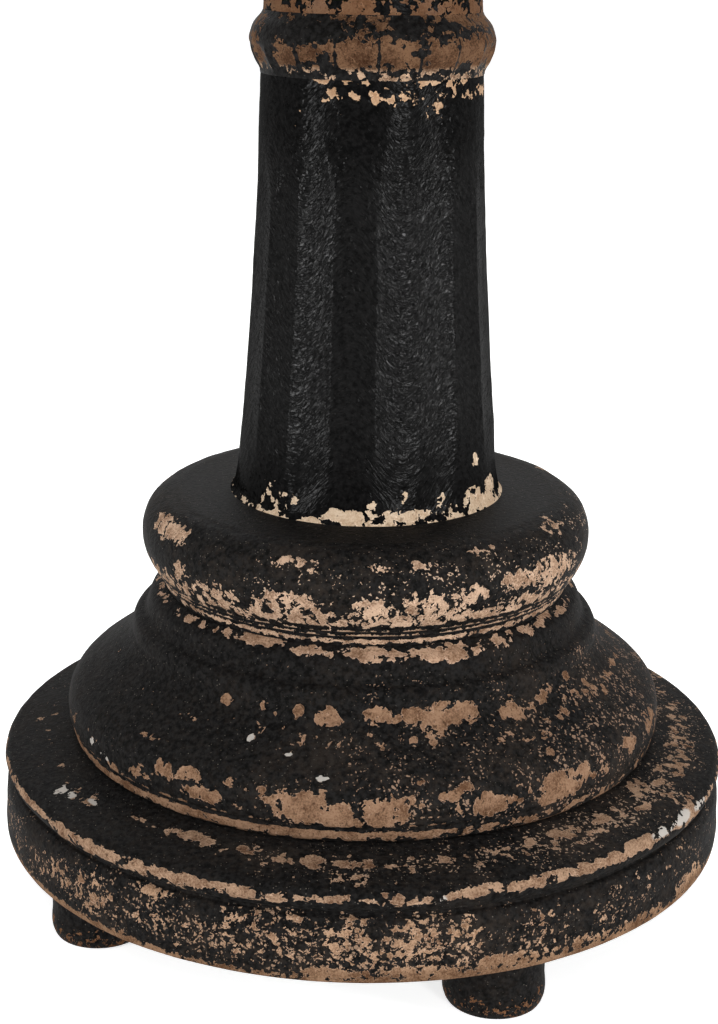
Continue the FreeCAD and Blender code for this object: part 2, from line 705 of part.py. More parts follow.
def column():
    """The turned pieces above the plinth, with their carving."""
    turned_block("base_moulding", MOULDING_SHARES, "moulding_radius", "moulding_height",
                 "wood_bore", "moulding_z")
    turned_block("base_torus", TORUS_SHARES, "torus_radius", "torus_height", "wood_bore", "torus_z")
    fluted_shaft("shaft_lower", "shaft_foot_radius", "shaft_neck_radius", "shaft_height",
                 "flute_middle", "flute_half_length", "flute_depth", "shaft_z")
    collar = turned_block("collar_ring", COLLAR_SHARES, "collar_radius", "collar_height",
                          "wood_bore", "collar_z")
    cut_facets(collar, "facet_middle", "facet_half_length", "facet_depth")
    fluted_shaft("shaft_upper", "upper_shaft_foot_radius", "upper_shaft_neck_radius",
                 "upper_shaft_height", "upper_flute_middle", "upper_flute_half_length",
                 "upper_flute_depth", "upper_shaft_z")
    turned_block("capital_bead", BEAD_SHARES, "bead_radius", "bead_height", "wood_bore", "bead_z")
    turned_block("capital", CAPITAL_SHARES, "capital_radius", "capital_height",
                 "wood_bore", "capital_z")
    turned_block("top_cap", TOP_CAP_SHARES, "top_cap_radius", "top_cap_height",
                 "wood_bore", "top_cap_z")


def nut(label, up):
    """A hexagon nut on the pipe."""
    hexagon = doc.addObject("Part::Prism", f"{label}_hexagon")
    hexagon.Polygon = 6
    hexagon.setExpression("Circumradius", bound("nut_corner_radius"))
    hexagon.setExpression("Height", bound("nut_height"))
    hexagon.setExpression("Placement.Base.z", bound(up))
    cut(label, hexagon, cylinder(f"{label}_bore", "thread_bore", "nut_height", up))


def pipe_and_clamp():
    """The pipe through the wood and the washers and nut that hold it from below."""
    outside = cylinder("lamp_pipe_outside", "pipe_radius", "pipe_length", "pipe_z")
    cut("lamp_pipe", outside, cylinder("lamp_pipe_bore", "pipe_bore_radius", "pipe_length", "pipe_z"))
    washer("base_washer", "base_washer_radius", "thread_bore", "base_washer_thickness",
           "base_washer_z")
    washer("lock_washer", "lock_washer_radius", "thread_bore", "lock_washer_thickness",
           "lock_washer_z")
    nut("base_nut", "base_nut_z")


def cord_bushing():
    """The bushing in the cord inlet, with its flange in the seat."""
    bushing = turned("cord_bushing", [
        ("cord_bore_radius", 0), ("bushing_radius", 0), ("bushing_radius", "bushing_barrel"),
        ("bushing_flange_radius", "bushing_barrel"), ("bushing_flange_radius", "bushing_length"),
        ("cord_bore_radius", "bushing_length")], "cord_z")
    bushing.setExpression("Placement.Base.y", bound("bushing_y"))
    bushing.Placement.Rotation = FreeCAD.Rotation(FreeCAD.Vector(1, 0, 0), -90)


def neck():
    """The ring and tube under the harp saddle."""
    turned_block("check_ring", CHECK_RING_SHARES, "check_ring_radius", "check_ring_height",
                 "thread_bore", "wood_top_z")
    washer("neck_tube", "neck_radius", "thread_bore", "neck_height", "neck_z")


def harp_saddle():
    """A bent strip with a round post at each end."""
    body = new_body("harp_saddle", "saddle_z")
    strip = new_sketch(body, "saddle_profile", "YZ_Plane")
    draw(strip, [
        (0, 0), ("saddle_flat", 0), ("saddle_step_y", "saddle_rise"),
        ("saddle_tip_y", "saddle_rise"), ("saddle_tip_y", "saddle_shelf"),
        ("saddle_step_top_y", "saddle_shelf"), ("saddle_flat_top_y", "saddle_thickness"),
        (0, "saddle_thickness")])
    arm = pad(body, strip, "saddle_width", midplane=True)
    round_post = new_sketch(body, "saddle_post_section", "XY_Plane", "saddle_shelf")
    draw_circle(round_post, "wire_radius", (0, "harp_foot_y"))
    post = pad(body, round_post, "saddle_post_height")
    mirror = body.newObject("PartDesign::Mirrored", "saddle_other_side")
    mirror.Originals = [arm, post]
    mirror.MirrorPlane = (origin_feature(body, "XZ_Plane"), [""])
    body.Tip = mirror
    doc.recompute()
    hole = new_sketch(body, "saddle_hole", "XY_Plane")
    draw_circle(hole, "thread_bore")
    pocket(body, hole, reverse=True)
    nut("saddle_nut", "saddle_nut_z")


def side_hole(body, radius, start=None):
    """A hole towards +X at the height of the switch spindle."""
    doc.recompute()
    sketch = new_sketch(body, f"{body.Label}_spindle_hole", "YZ_Plane", start)
    draw_circle(sketch, radius, (0, "spindle_height"))
    pocket(body, sketch, reverse=True)


def lampholder():
    """The holder cap, its core and sleeves, the screw shell and the contact."""
    turned("holder_cap", [
        ("thread_bore", 0), ("holder_cap_hub_radius", 0),
        ("holder_cap_hub_radius", "holder_cap_hub_side"),
        ("holder_cap_radius", "holder_cap_cone_height"), ("holder_cap_radius", "holder_cap_height"),
        ("holder_cap_bore", "holder_cap_height"), ("holder_cap_bore", "holder_seat"),
        ("holder_cap_hub_radius", "holder_floor"), ("thread_bore", "holder_floor")], "holder_z")
    core = turned("holder_core", [
        (0, 0), ("core_radius", 0), ("core_radius", "holder_core_height"),
        (0, "holder_core_height")], "holder_seat_z")
    side_hole(core, "spindle_bore", "spindle_end_x")
    insulator = washer("holder_insulator", "insulator_radius", "insulator_bore", "insulator_height",
                       "holder_seat_z")
    side_hole(insulator, "spindle_hole_radius")
    shell = washer("holder_shell", "shell_radius", "shell_bore", "shell_height", "holder_seat_z")
    side_hole(shell, "spindle_hole_radius")
    washer("screw_shell", "screw_radius", "screw_bore", "screw_shell_height", "screw_shell_z")
    turned("centre_contact", [
        (0, 0), ("contact_radius", 0), ("contact_top_radius", "contact_thickness"),
        (0, "contact_thickness")], "screw_shell_z")


def switch_knob():
    """The knob and its spindle, which point to +X."""
    knob = turned("switch_knob", [
        (0, 0), ("spindle_radius", 0), ("spindle_radius", "knob_start"),
        ("knob_radius", "knob_start"), ("knob_radius", "knob_end"), (0, "knob_end")], "spindle_z")
    turning = knob.Tip
    outer_edges = [f"Edge{number}" for number, edge in enumerate(turning.Shape.Edges, start=1)
                   if len(edge.Vertexes) == 1 and edge.BoundBox.ZMin > value("knob_start")]
    chamfer = knob.newObject("PartDesign::Chamfer", "knob_chamfer")
    chamfer.Base = (turning, outer_edges)
    chamfer.setExpression("Size", bound("knob_chamfer"))
    knob.Placement.Rotation = FreeCAD.Rotation(FreeCAD.Vector(0, 1, 0), 90)
    knob.setExpression("Placement.Base.x", bound("spindle_end_x"))


def bulb_outline(name, neck, top):
    """Half a bulb: a neck, a cone and a ball."""
    return [
        (0, 0), (neck, 0), (neck, "bulb_neck_height"),
        (f"{name}_shoulder_radius", f"{name}_shoulder"),
        [(f"{name}_crown_radius", f"{name}_crown"), (0, top)]]


def bulb():
    """The bulb's cap and its glass envelope."""
    turned("bulb_cap", [
        (0, 0), ("bulb_tip_radius", 0), ("bulb_tip_radius", "bulb_tip_height"),
        ("bulb_cap_shoulder_radius", "bulb_cap_shoulder_low"),
        ("bulb_cap_radius", "bulb_cap_shoulder_high"), ("bulb_cap_radius", "bulb_cap_height"),
        (0, "bulb_cap_height")], "contact_top_z")
    outline = bulb_outline("bulb", "bulb_neck_radius", "bulb_glass_height")
    glass = turned("bulb_glass", outline, "bulb_glass_z")
    inside = new_sketch(glass, "bulb_inside_outline", "XZ_Plane")
    draw(inside, bulb_outline("bulb_inner", "bulb_inner_neck_radius", "bulb_inner_top"))
    hollow = glass.newObject("PartDesign::Groove", "bulb_inside")
    hollow.Profile = inside
    hollow.ReferenceAxis = (inside, ["V_Axis"])
    hollow.Angle = 360
    doc.recompute()


def harp():
    """The bent wire over the bulb, with a hub that holds the stud, and the two sliding tubes."""
    body = new_body("harp", "harp_z")
    path = new_sketch(body, "harp_path", "YZ_Plane")
    draw(path, [
        ("harp_foot_y", 0), ("harp_foot_y", "harp_leg"),
        [("swell_first_y", "swell_first"), ("swell_middle_y", "swell_middle")],
        [("swell_second_y", "swell_second"), ("harp_side_y", "swell_top")],
        ("harp_side_y", "harp_corner_start"),
        [("harp_corner_middle_y", "harp_corner_middle"), ("harp_corner_y", "harp_height")],
        (0, "harp_height")], closed=False)
    section = new_sketch(body, "harp_section", "XY_Plane")
    draw_circle(section, "wire_radius", (0, "harp_foot_y"))
    doc.recompute()
    wire = body.newObject("PartDesign::AdditivePipe", "harp_wire")
    wire.Profile = section
    wire.Spine = (path, [f"Edge{number}" for number in range(1, len(path.Shape.Edges) + 1)])
    doc.recompute()
    mirror = body.newObject("PartDesign::Mirrored", "harp_other_side")
    mirror.Originals = [wire]
    mirror.MirrorPlane = (origin_feature(body, "XZ_Plane"), [""])
    body.Tip = mirror
    doc.recompute()
    hub = new_sketch(body, "harp_hub_section", "XY_Plane", "harp_hub_bottom")
    draw_circle(hub, "harp_hub_radius")
    pad(body, hub, "harp_hub_height")
    turned("harp_stud", [
        (0, 0), ("stud_flange_radius", 0), ("stud_flange_radius", "stud_flange_thickness"),
        ("stud_radius", "stud_flange_thickness"), ("stud_radius", "stud_top"), (0, "stud_top")],
        "stud_z")
    for label, side in (("harp_sleeve_front", -1), ("harp_sleeve_back", 1)):
        tube = washer(label, "tube_radius", "tube_bore", "tube_length", "saddle_shelf_z")
        tube.setExpression("Placement.Base.y", bound("harp_foot_y", side))


def shade_spider():
    """A washer on the harp and three rising arms that carry the top ring."""
    disc = cylinder("spider_disc", "spider_washer_radius", "spider_washer_thickness", "washer_z")
    arms = []
    for number in range(SIZES["spider_arm_count"]):
        turn = math.radians(90) + math.radians(360) * number / SIZES["spider_arm_count"]
        arm = doc.addObject("Part::Cylinder", f"spider_arm_{number}")
        arm.setExpression("Radius", bound("spider_arm_radius"))
        arm.setExpression("Height", bound("arm_length"))
        arm.Placement = FreeCAD.Placement(
            FreeCAD.Vector(
                value("arm_start", math.cos(turn)), value("arm_start", math.sin(turn)), value("arm_z")),
            FreeCAD.Rotation(
                FreeCAD.Vector(-math.sin(turn), math.cos(turn), 0), value("arm_tilt")))
        arms.append(arm)
    fused = doc.addObject("Part::MultiFuse", "spider_solid")
    fused.Shapes = [disc] + arms
    bore = cylinder("spider_bore", "washer_bore", "spider_washer_thickness", "washer_z")
    cut("shade_spider", fused, bore)


def shade_ring(label, radius, up):
    """A wire ring in the shade."""
    ring = doc.addObject("Part::Torus", label)
    ring.Label = label
    ring.setExpression("Radius1", bound(radius))
    ring.setExpression("Radius2", bound("ring_wire_radius"))
    ring.setExpression("Placement.Base.z", bound(up))
    pieces.append(ring)


def shade():
    """The spider and rings with the cover, its liner and the tapes on both edges."""
    shade_spider()
    shade_ring("shade_top_ring", "top_ring_radius", "ring_z")
    shade_ring("shade_bottom_ring", "bottom_ring_radius", "bottom_ring_z")
    turned("shade_cover", [
        ("cover_bottom_bore", 0), ("shade_bottom_radius", 0), ("shade_top_radius", "shade_height"),
        ("cover_top_bore", "shade_height")], "shade_z")
    turned("shade_liner", [
        ("liner_bottom_bore", 0), ("cover_bottom_bore", 0), ("cover_top_bore", "shade_height"),
        ("liner_top_bore", "shade_height")], "shade_z")
    turned("shade_bottom_trim", [
        ("shade_bottom_radius", 0), ("trim_bottom_radius", 0),
        ("low_trim_upper_radius", "trim_width"), ("low_trim_upper_bore", "trim_width")], "shade_z")
    turned("shade_top_trim", [
        ("high_trim_lower_bore", 0), ("high_trim_lower_radius", 0), ("trim_top_radius", "trim_width"),
        ("shade_top_radius", "trim_width")], "high_trim_z")


def finial():
    """The turned finial, with a blind bore for the stud."""
    turned("finial", [("finial_bore", 0)] + rim(FINIAL_SHARES, "finial_radius", "finial_height") + [
        (0, "finial_bore_depth"), ("finial_bore", "finial_bore_depth")], "finial_z")


def write_pieces():
    """Check every object, then write each piece to its own file."""
    doc.recompute()
    failed = [thing.Label for thing in doc.Objects
              if "Invalid" in thing.State or "Error" in thing.State]
    if failed:
        raise ValueError(f"failed: {failed}")
    for piece in pieces:
        if piece.Shape.isNull() or not piece.Shape.isValid() or not piece.Shape.Solids:
            raise ValueError(f"{piece.Label} is not a valid solid")
    os.makedirs("parts", exist_ok=True)
    for piece in pieces:
        piece.Shape.exportStep(f"parts/{piece.Label}.step")
        print(piece.Label, len(piece.Shape.Solids), round(piece.Shape.Volume, 1))


feet()
plinth()
column()
pipe_and_clamp()
cord_bushing()
neck()
harp_saddle()
lampholder()
switch_knob()
bulb()
harp()
shade()
finial()
write_pieces()
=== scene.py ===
import bpy
import math
import numpy as np
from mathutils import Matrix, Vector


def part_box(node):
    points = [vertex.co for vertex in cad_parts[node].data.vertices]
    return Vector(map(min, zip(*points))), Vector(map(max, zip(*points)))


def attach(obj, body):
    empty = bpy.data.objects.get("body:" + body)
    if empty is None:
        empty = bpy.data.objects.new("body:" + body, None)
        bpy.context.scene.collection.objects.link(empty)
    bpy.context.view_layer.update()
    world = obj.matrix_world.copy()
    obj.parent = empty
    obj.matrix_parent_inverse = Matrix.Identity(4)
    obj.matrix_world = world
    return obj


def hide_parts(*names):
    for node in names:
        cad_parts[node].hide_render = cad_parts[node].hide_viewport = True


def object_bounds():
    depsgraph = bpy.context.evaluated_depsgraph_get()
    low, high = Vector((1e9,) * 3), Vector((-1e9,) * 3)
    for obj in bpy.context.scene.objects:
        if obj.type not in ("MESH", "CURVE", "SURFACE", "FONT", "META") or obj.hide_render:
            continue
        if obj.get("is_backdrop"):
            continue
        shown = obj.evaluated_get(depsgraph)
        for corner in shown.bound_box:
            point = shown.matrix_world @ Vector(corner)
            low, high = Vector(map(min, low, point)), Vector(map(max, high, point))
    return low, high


# The looks of a turned wooden table lamp in worn black paint, with its fittings and shade.
# Azimuths are in degrees from the front, growing to the right. Rims are in millimetres.

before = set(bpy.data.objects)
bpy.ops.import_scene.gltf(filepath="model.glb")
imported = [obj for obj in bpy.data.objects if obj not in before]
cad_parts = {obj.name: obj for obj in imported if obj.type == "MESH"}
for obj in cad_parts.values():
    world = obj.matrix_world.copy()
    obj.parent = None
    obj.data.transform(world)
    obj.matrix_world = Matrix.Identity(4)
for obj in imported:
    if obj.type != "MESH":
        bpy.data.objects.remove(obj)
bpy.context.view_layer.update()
MM = 0.001


# Meshes

def smooth_run(knots, spacing):
    """A cubic through the knots: at each knot the slope is the mean of the slopes of the chords on
    both sides, weighted by the other chord's length, and points are laid out at the spacing."""
    knots = np.asarray(knots, float)
    chords = np.linalg.norm(np.diff(knots, axis=0), axis=1)
    slopes = np.diff(knots, axis=0) / chords[:, None]
    inner = (slopes[:-1] * chords[1:, None] + slopes[1:] * chords[:-1, None])
    inner = inner / (chords[1:] + chords[:-1])[:, None]
    tangents = np.vstack([slopes[:1], inner, slopes[-1:]])
    runs = []
    for start, end, leave, arrive, chord in zip(knots, knots[1:], tangents, tangents[1:], chords):
        t = np.linspace(0, 1, max(2, int(math.ceil(chord / spacing)) + 1))[:-1, None]
        runs.append((2 * t ** 3 - 3 * t ** 2 + 1) * start + (t ** 3 - 2 * t ** 2 + t) * chord * leave
                    + (3 * t ** 2 - 2 * t ** 3) * end + (t ** 3 - t ** 2) * chord * arrive)
    return np.vstack(runs + [knots[-1:]])


def chained(start, *runs):
    """The runs of a rim from its start. Each begins at the corner where the last one ends, and is
    given without it."""
    return [[corner, *run] for corner, run in zip([start, *(run[-1] for run in runs)], runs)]


def rim_path(runs, spacing):
    """The points of a rim of several smooth runs, with each corner between them once."""
    parts = [smooth_run(run, spacing) for run in runs]
    return np.vstack([part[:-1] for part in parts[:-1]] + [parts[-1]])


def path_lengths(path):
    """The length along a path at each of its points: the running sum of its chords."""
    return np.concatenate([[0], np.cumsum(np.linalg.norm(np.diff(path, axis=0), axis=1))])


def outward(path):
    """Unit normals of a path: its direction by central differences, turned a quarter clockwise."""
    along = np.gradient(path, axis=0)
    along /= np.linalg.norm(along, axis=1)[:, None]
    return np.column_stack([along[:, 1], -along[:, 0]])


def mesh_object(name, points, faces, corners=40):
    """An object at the origin with smooth faces and sharp edges above an angle in degrees."""
    mesh = bpy.data.meshes.new(name)
    mesh.from_pydata(points, [], faces)
    mesh.polygons.foreach_set("use_smooth", np.ones(len(mesh.polygons), bool))
    mesh.set_sharp_from_angle(angle=math.radians(corners))
    mesh.update()
    thing = bpy.data.objects.new(name, mesh)
    bpy.context.scene.collection.objects.link(thing)
    return thing


def grid_faces(rows, columns, loop):
    """Quads between neighbouring rows and columns. The last column is joined to the first, and a
    loop joins the last row to the first."""
    row = np.arange(rows if loop else rows - 1)[:, None]
    column = np.arange(columns)[None, :]
    next_row, next_column = (row + 1) % rows, (column + 1) % columns
    quads = np.stack([row * columns + column, row * columns + next_column,
                      next_row * columns + next_column, next_row * columns + column], axis=-1)
    return quads.reshape(-1, 4)


def revolved(name, path, columns=96, centre=(0, 0), closed=False, push=None, corners=40, turns=None,
             order=(0, 1, 2)):
    """A path of (radius, height) carried round the vertical axis at a centre, in millimetres.

    x = centre + radius times the sine of the azimuth, y = centre - radius times its cosine. An end of
    the path on the axis becomes one point with a fan of triangles. A closed path joins its own ends.
    push is added to the radius and the height at each point of the grid. turns are the azimuths, if
    they aren't evenly spaced, and order swaps the axes in turn: (2, 0, 1) lays the axis along X.
    """
    azimuth = np.linspace(0, 2 * math.pi, columns, endpoint=False) if turns is None else turns
    columns = len(azimuth)
    radius = np.repeat(path[:, :1], columns, axis=1)
    height = np.repeat(path[:, 1:], columns, axis=1)
    if push is not None:
        radius, height = radius + push[0], height + push[1]
    points = np.stack([centre[0] + radius * np.sin(azimuth), centre[1] - radius * np.cos(azimuth),
                       height], axis=-1)
    start, end = (0 if path[0, 0] > 0 else 1), (len(path) if path[-1, 0] > 0 else len(path) - 1)
    rows = end - start
    points = points[start:end].reshape(-1, 3)
    faces = grid_faces(rows, columns, closed).tolist()
    around = np.arange(columns)
    following = (around + 1) % columns
    if start:
        points = np.vstack([points, [[*centre, path[0, 1]]]])
        tip = np.full(columns, len(points) - 1)
        faces += np.column_stack([tip, following, around]).tolist()
    if end < len(path):
        points = np.vstack([points, [[*centre, path[-1, 1]]]])
        tip = np.full(columns, len(points) - 1)
        last = (rows - 1) * columns
        faces += np.column_stack([last + around, last + following, tip]).tolist()
    return mesh_object(name, points[:, order] * MM, faces, corners)


def weave_map(thing, flat):
    """The UV map "weave" of a closed ring of grid faces: the flat place in metres at each row and
    column, where the last row and column are the first again, at the cloth's other end."""
    corners = np.stack([flat[:-1, :-1], flat[:-1, 1:], flat[1:, 1:], flat[1:, :-1]], axis=2)
    thing.data.uv_layers.new(name="weave").data.foreach_set("uv", corners.ravel())


def dressed(thing, label, body, finish):
    """A piece in its one finish, which stands for a node and rides on its body."""
    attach(thing, body)
    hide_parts(label)
    thing.data.materials.append(finish)
    return thing


# Unevenness, worked out as whole arrays

def lattice(across, along, cells, step, seed):
    """Smooth noise from -1 to 1: random values on a lattice, blended with the quintic 6t5 - 15t4 + 10t3.
    The azimuth has a whole number of cells round the piece, so the pattern closes."""
    table = np.random.default_rng(seed).uniform(-1, 1, (int(np.max(along) / step) + 3, cells))
    u, v = (across / (2 * math.pi) % 1) * cells, along / step
    column, row = np.floor(u).astype(int), np.floor(v).astype(int)
    fu, fv = ((part ** 3) * (part * (part * 6 - 15) + 10) for part in (u - column, v - row))
    left, right = column % cells, (column + 1) % cells
    low = table[row, left] * (1 - fu) + table[row, right] * fu
    high = table[row + 1, left] * (1 - fu) + table[row + 1, right] * fu
    return low * (1 - fv) + high * fv


def bump(distance, reach):
    """One in the middle and zero at the reach, as the square of one less the squared share."""
    return np.clip(1 - (distance / reach) ** 2, 0, 1) ** 2


def turn_between(first, second):
    """The difference of two azimuths in degrees, from -180 to 180."""
    return (first - second + 180) % 360 - 180


def step_up(value, low, high):
    """Zero below low, one above high, and 3t2 - 2t3 between."""
    t = np.clip((value - low) / (high - low), 0, 1)
    return t * t * (3 - 2 * t)


# The turned wood: rims as (radius, height), each run smooth and corners between runs

PIPE_HOLE, PLINTH_RADIUS, INLET_HEIGHT = 5.3, 103.5, 25.4


def wood_rim(start, *runs, below, above):
    """A rim from the pipe's hole out along the hidden face below to the start, up the shown runs, and
    back along the hidden face above. below and above are radii of one more point on each face."""
    low, high = start[1], runs[-1][-1][1]
    return chained((PIPE_HOLE, low), [(below, low), start], *runs, [(above, high), (PIPE_HOLE, high)])


PLINTH_LOWER_RIM = chained(
    (PIPE_HOLE, 30), [(26, 30)], [(26, 18)], [(60, 18), (102.4, 18)],
    [(103.2, 18.4), (103.55, 19.4), (103.5, 24), (103.2, 30), (102.6, 33.6), (101.6, 35.2)],
    [(100.4, 35.6), (100.3, 36.6)], [(60, 36.6), (PIPE_HOLE, 36.6)])
PLINTH_UPPER_RIM = wood_rim(
    (100.3, 36.6), [(101.6, 37.3), (102.7, 38.6), (103.4, 40.6), (102.4, 42.6), (98.2, 43.9)],
    [(90.6, 45.1), (82.5, 46.2)], below=60, above=60)
MOULDING_RIM = wood_rim(
    (82.4, 46.2), [(83.8, 47.4)],
    [(85, 53), (83.3, 60), (80.7, 62.7), (77.2, 65.2), (71.4, 69.5), (67.2, 73.6), (66.2, 75.1)],
    [(66.2, 77), (65.2, 79.6), (62.2, 82), (62, 83)], [(60.6, 86.5), (56.8, 89.2)], below=60, above=30)
TORUS_RIM = wood_rim(
    (56.8, 89.2), [(57.6, 91.5)], [(59.6, 94.2), (61.4, 97.4), (62.9, 102), (62.9, 106.4), (60.7, 111.8),
                                   (57.4, 114.5), (52.9, 115.8)], below=30, above=30)
SHAFT_RIM = wood_rim(
    (38.3, 115.8), [(37.3, 117.4), (36.8, 119.5), (35.4, 136), (33.4, 161), (31.6, 188), (30.2, 214),
                    (29.6, 230)], below=20, above=20)
COLLAR_RIM = wood_rim(
    (29.7, 230), [(30, 231.3), (31.4, 233.8), (32.5, 237.4), (32.3, 240), (31, 243.2), (29.3, 245.2),
                  (28.9, 246)], below=20, above=20)
UPPER_SHAFT_RIM = wood_rim(
    (28.9, 246), [(28, 270), (27, 300), (26.2, 330), (25.9, 350)], below=20, above=20)
BEAD_RIM = wood_rim(
    (26.2, 350), [(29.2, 352), (30.4, 354.5), (29.2, 357), (26.2, 359)], below=15, above=15)
CAPITAL_RIM = wood_rim(
    (25.8, 359), [(26.6, 364.6), (29.8, 370), (34.4, 373.6), (38.6, 375.5)], [(40.5, 376.5)],
    [(41.7, 378.2), (41.9, 380.3), (41.6, 382.4), (40.5, 384)], below=15, above=15)
TOP_CAP_RIM = wood_rim(
    (35.5, 384), [(34.8, 386.6), (32, 390), (27, 392.6), (22, 394.4)], [(21, 395.4), (20.9, 397)],
    below=15, above=12)

# The carved flats of the shaft: their number, the azimuth where the first begins, and how far below
# a common top each one ends, from there round to the right

FLATS = 18
FLAT_TURN = 360 / FLATS
FIRST_FLAT = 3
FLAT_DROPS = [1, 2, 8, 4, 9, 3, 12, 6, 2, 10, 5, 3, 9, 1, 7, 5, 2, 20]

# Chips from the bottom up: a place on the rim, and there (azimuth, half width, half height, strength)
# of each. A strength below zero is paint that is left.

PLINTH_LOWER_CHIPS = [
    ((103.2, 18.4), (-50, 8.1, 1.3, 0.8), (-38, 9.5, 0.9, 0.8)), ((103.4, 18.7), (-28, 9, 1.3, 0.8)),
    ((103.5, 19), (-18, 8.1, 1.5, 0.65)), ((103.7, 20.5), (44, 11.8, 2.2, 0.75)),
    ((103.7, 20.9), (-4, 10, 2.2, 0.8), (8, 12.7, 2.4, 0.8), (32, 12.7, 2.4, 0.6)),
    ((103.7, 21.3), (59, 10, 3.6, 0.8)), ((103.7, 21.7), (20, 10.9, 2.1, 0.75)),
    ((103.4, 28.1), (-43, 8.6, 6.9, 0.5), (26, 11.3, 6.9, 0.32)), ((103.3, 28.5), (-50, 8.1, 4.1, 0.5)),
    ((103.3, 28.9), (-2, 11.3, 7.5, 0.48)), ((103.3, 29.3), (14, 5.9, 6.6, 0.5), (40, 19.4, 7.7, 0.24)),
    ((103.2, 30), (8, 11.3, 8, 0.53)), ((103.2, 30.4), (55, 16.2, 9.1, 0.22)),
    ((103.1, 30.7), (-10, 9.9, 6.9, 0.46)), ((103.1, 31.5), (-17, 8.1, 6, 0.38)),
    ((102, 34.6), (-31, 5.8, 1.6, 0.65)),
]
PLINTH_UPPER_CHIPS = [
    ((103.3, 39.9), (-50, 8.6, 2.3, 0.6), (-42, 9.5, 2.2, 0.7), (-33, 9, 2.3, 0.75),
     (-26, 8.1, 2.3, 0.8)), ((103.4, 40.6), (-17, 7.2, 1.7, 0.8), (-12, 4.1, 1.6, 0.7)),
    ((103.2, 41.3), (-3, 3.6, 1.1, 0.75), (4, 5.9, 1.6, 0.75), (8, 3.2, 1.6, 0.6)),
    ((103.1, 41.7), (24, 8.5, 1.6, 0.85), (38, 8.1, 1.7, 0.85), (58, 8.5, 2.5, 0.7)),
    ((102.9, 42), (16, 6.7, 1.7, 0.8), (30, 6.7, 1.6, 0.85), (44, 8.5, 2, 0.8)),
    ((99, 43.7), (60, 5.4, 5.2, 0.42)), ((98.2, 43.9), (-2, 15, 3.2, 0.4)),
    ((94.4, 44.5), (-56, 3.7, 1.5, 0.5)), ((94, 44.6), (52, 3.7, 1.9, 0.6)),
    ((92.1, 44.9), (-13, 3, 1.5, 0.75), (-2, 5, 1.7, 0.85), (5, 3.2, 1.5, 0.8), (13, 3.5, 1.7, 0.72)),
    ((91.4, 45), (-8, 3.2, 2.7, 0.88)), ((91, 45), (22, 3.2, 2.1, 0.78)),
    ((90.6, 45.1), (-51, 2.7, 1.3, 0.5), (43, 4.7, 2.3, 0.65)),
    ((89.8, 45.2), (-19, 3.6, 2.1, 0.85), (28, 3, 2.1, 0.75), (35, 5.1, 2.7, 0.8)),
    ((89.4, 45.3), (-29, 5.4, 2.3, 0.95)), ((88.7, 45.4), (67, 2.8, 1.8, 0.7)),
    ((87.1, 45.6), (58, 3.8, 3.1, 0.75)),
]
MOULDING_CHIPS = [
    ((82.7, 46.4), (36, 13.4, 1.4, 0.65)), ((83.8, 47.4), (51, 11, 1, 0.7)),
    ((83.9, 47.8), (-16, 11, 2, 0.75), (16, 13.9, 1.8, 0.6)),
    ((84.1, 48.5), (-34, 10.6, 2.4, 0.75), (0, 12.6, 2.4, 0.7)), ((84.4, 49.6), (74, 5.2, 3.6, 0.6)),
    ((84.9, 51.9), (-52, 5.9, 2.1, 0.7)), ((84.9, 54.9), (-44, 3.3, 2.3, 0.7), (-30, 7, 2.1, 0.72)),
    ((84.9, 55.3), (36, 8.1, 4.5, 0.9)), ((84.8, 55.7), (5, 7.8, 4.3, 0.95), (22, 5.2, 3.2, 0.85)),
    ((84.8, 56.1), (-10, 9.3, 4.3, 0.95)), ((84.5, 57.2), (42, 2.9, 1.7, 0.75)),
    ((84.4, 57.6), (59, 4.4, 3.2, 0.7)), ((84.3, 58), (70, 6.3, 3.2, 0.65)),
    ((84, 58.7), (-38, 2.9, 2.8, 0.8), (15, 2.9, 1.7, 0.8)),
    ((83.7, 59.4), (-32, 3.7, 1.7, 0.8), (-24, 2.6, 1.5, 0.8), (-18, 1.5, 1.1, 0.75)),
    ((83.1, 60.3), (18, 2.2, 1.9, 0.8)), ((81.5, 61.9), (10, 1.4, 1, 0.6)),
    ((80.1, 63.2), (37, 1.4, 1.5, 0.75)), ((79.8, 63.4), (-45, 5.6, 1.2, 0.5)),
    ((75.6, 66.3), (38, 7.6, 1.2, 0.55)), ((72.6, 68.5), (4, 1, 1.2, 0.65), (14, 1.3, 1.4, 0.6)),
    ((71.4, 69.5), (10, 1.2, 1.2, 0.72)), ((69.3, 71.3), (60, 1.2, 1.6, 0.75)),
    ((68.8, 71.8), (34, 3.3, 3.6, 0.88), (42, 4.5, 2, 0.7)), ((67.7, 73), (-20, 0.8, 0.8, 0.7)),
    ((67.4, 73.3), (7, 1.2, 1.3, 0.7), (16, 9.1, 3.6, 0.9), (24, 2.6, 2.8, 0.85)),
    ((67.2, 73.6), (-8, 3.6, 2.6, 0.85), (46, 2.3, 1.7, 0.75)),
    ((66.8, 74.2), (-32, 2.3, 2, 0.78), (-15, 1.5, 1.9, 0.8), (3, 3.8, 2.4, 0.85), (54, 2, 1.5, 0.75)),
    ((66.6, 74.5), (-23, 1.5, 1.3, 0.75)), ((59.5, 87.5), (20, 9.3, 2.8, 0.92), (36, 4.9, 2.3, 0.75)),
    ((58.8, 88), (2, 11.3, 2.5, 0.78), (46, 3.1, 2.3, 0.75)), ((58.5, 88.2), (-16, 3.3, 2.2, 0.78)),
    ((58.2, 88.4), (-38, 2.3, 1.8, 0.75)), ((57.8, 88.6), (-28, 6.6, 2, 0.85)),
    ((57.5, 88.8), (58, 4, 2.2, 0.85)),
]
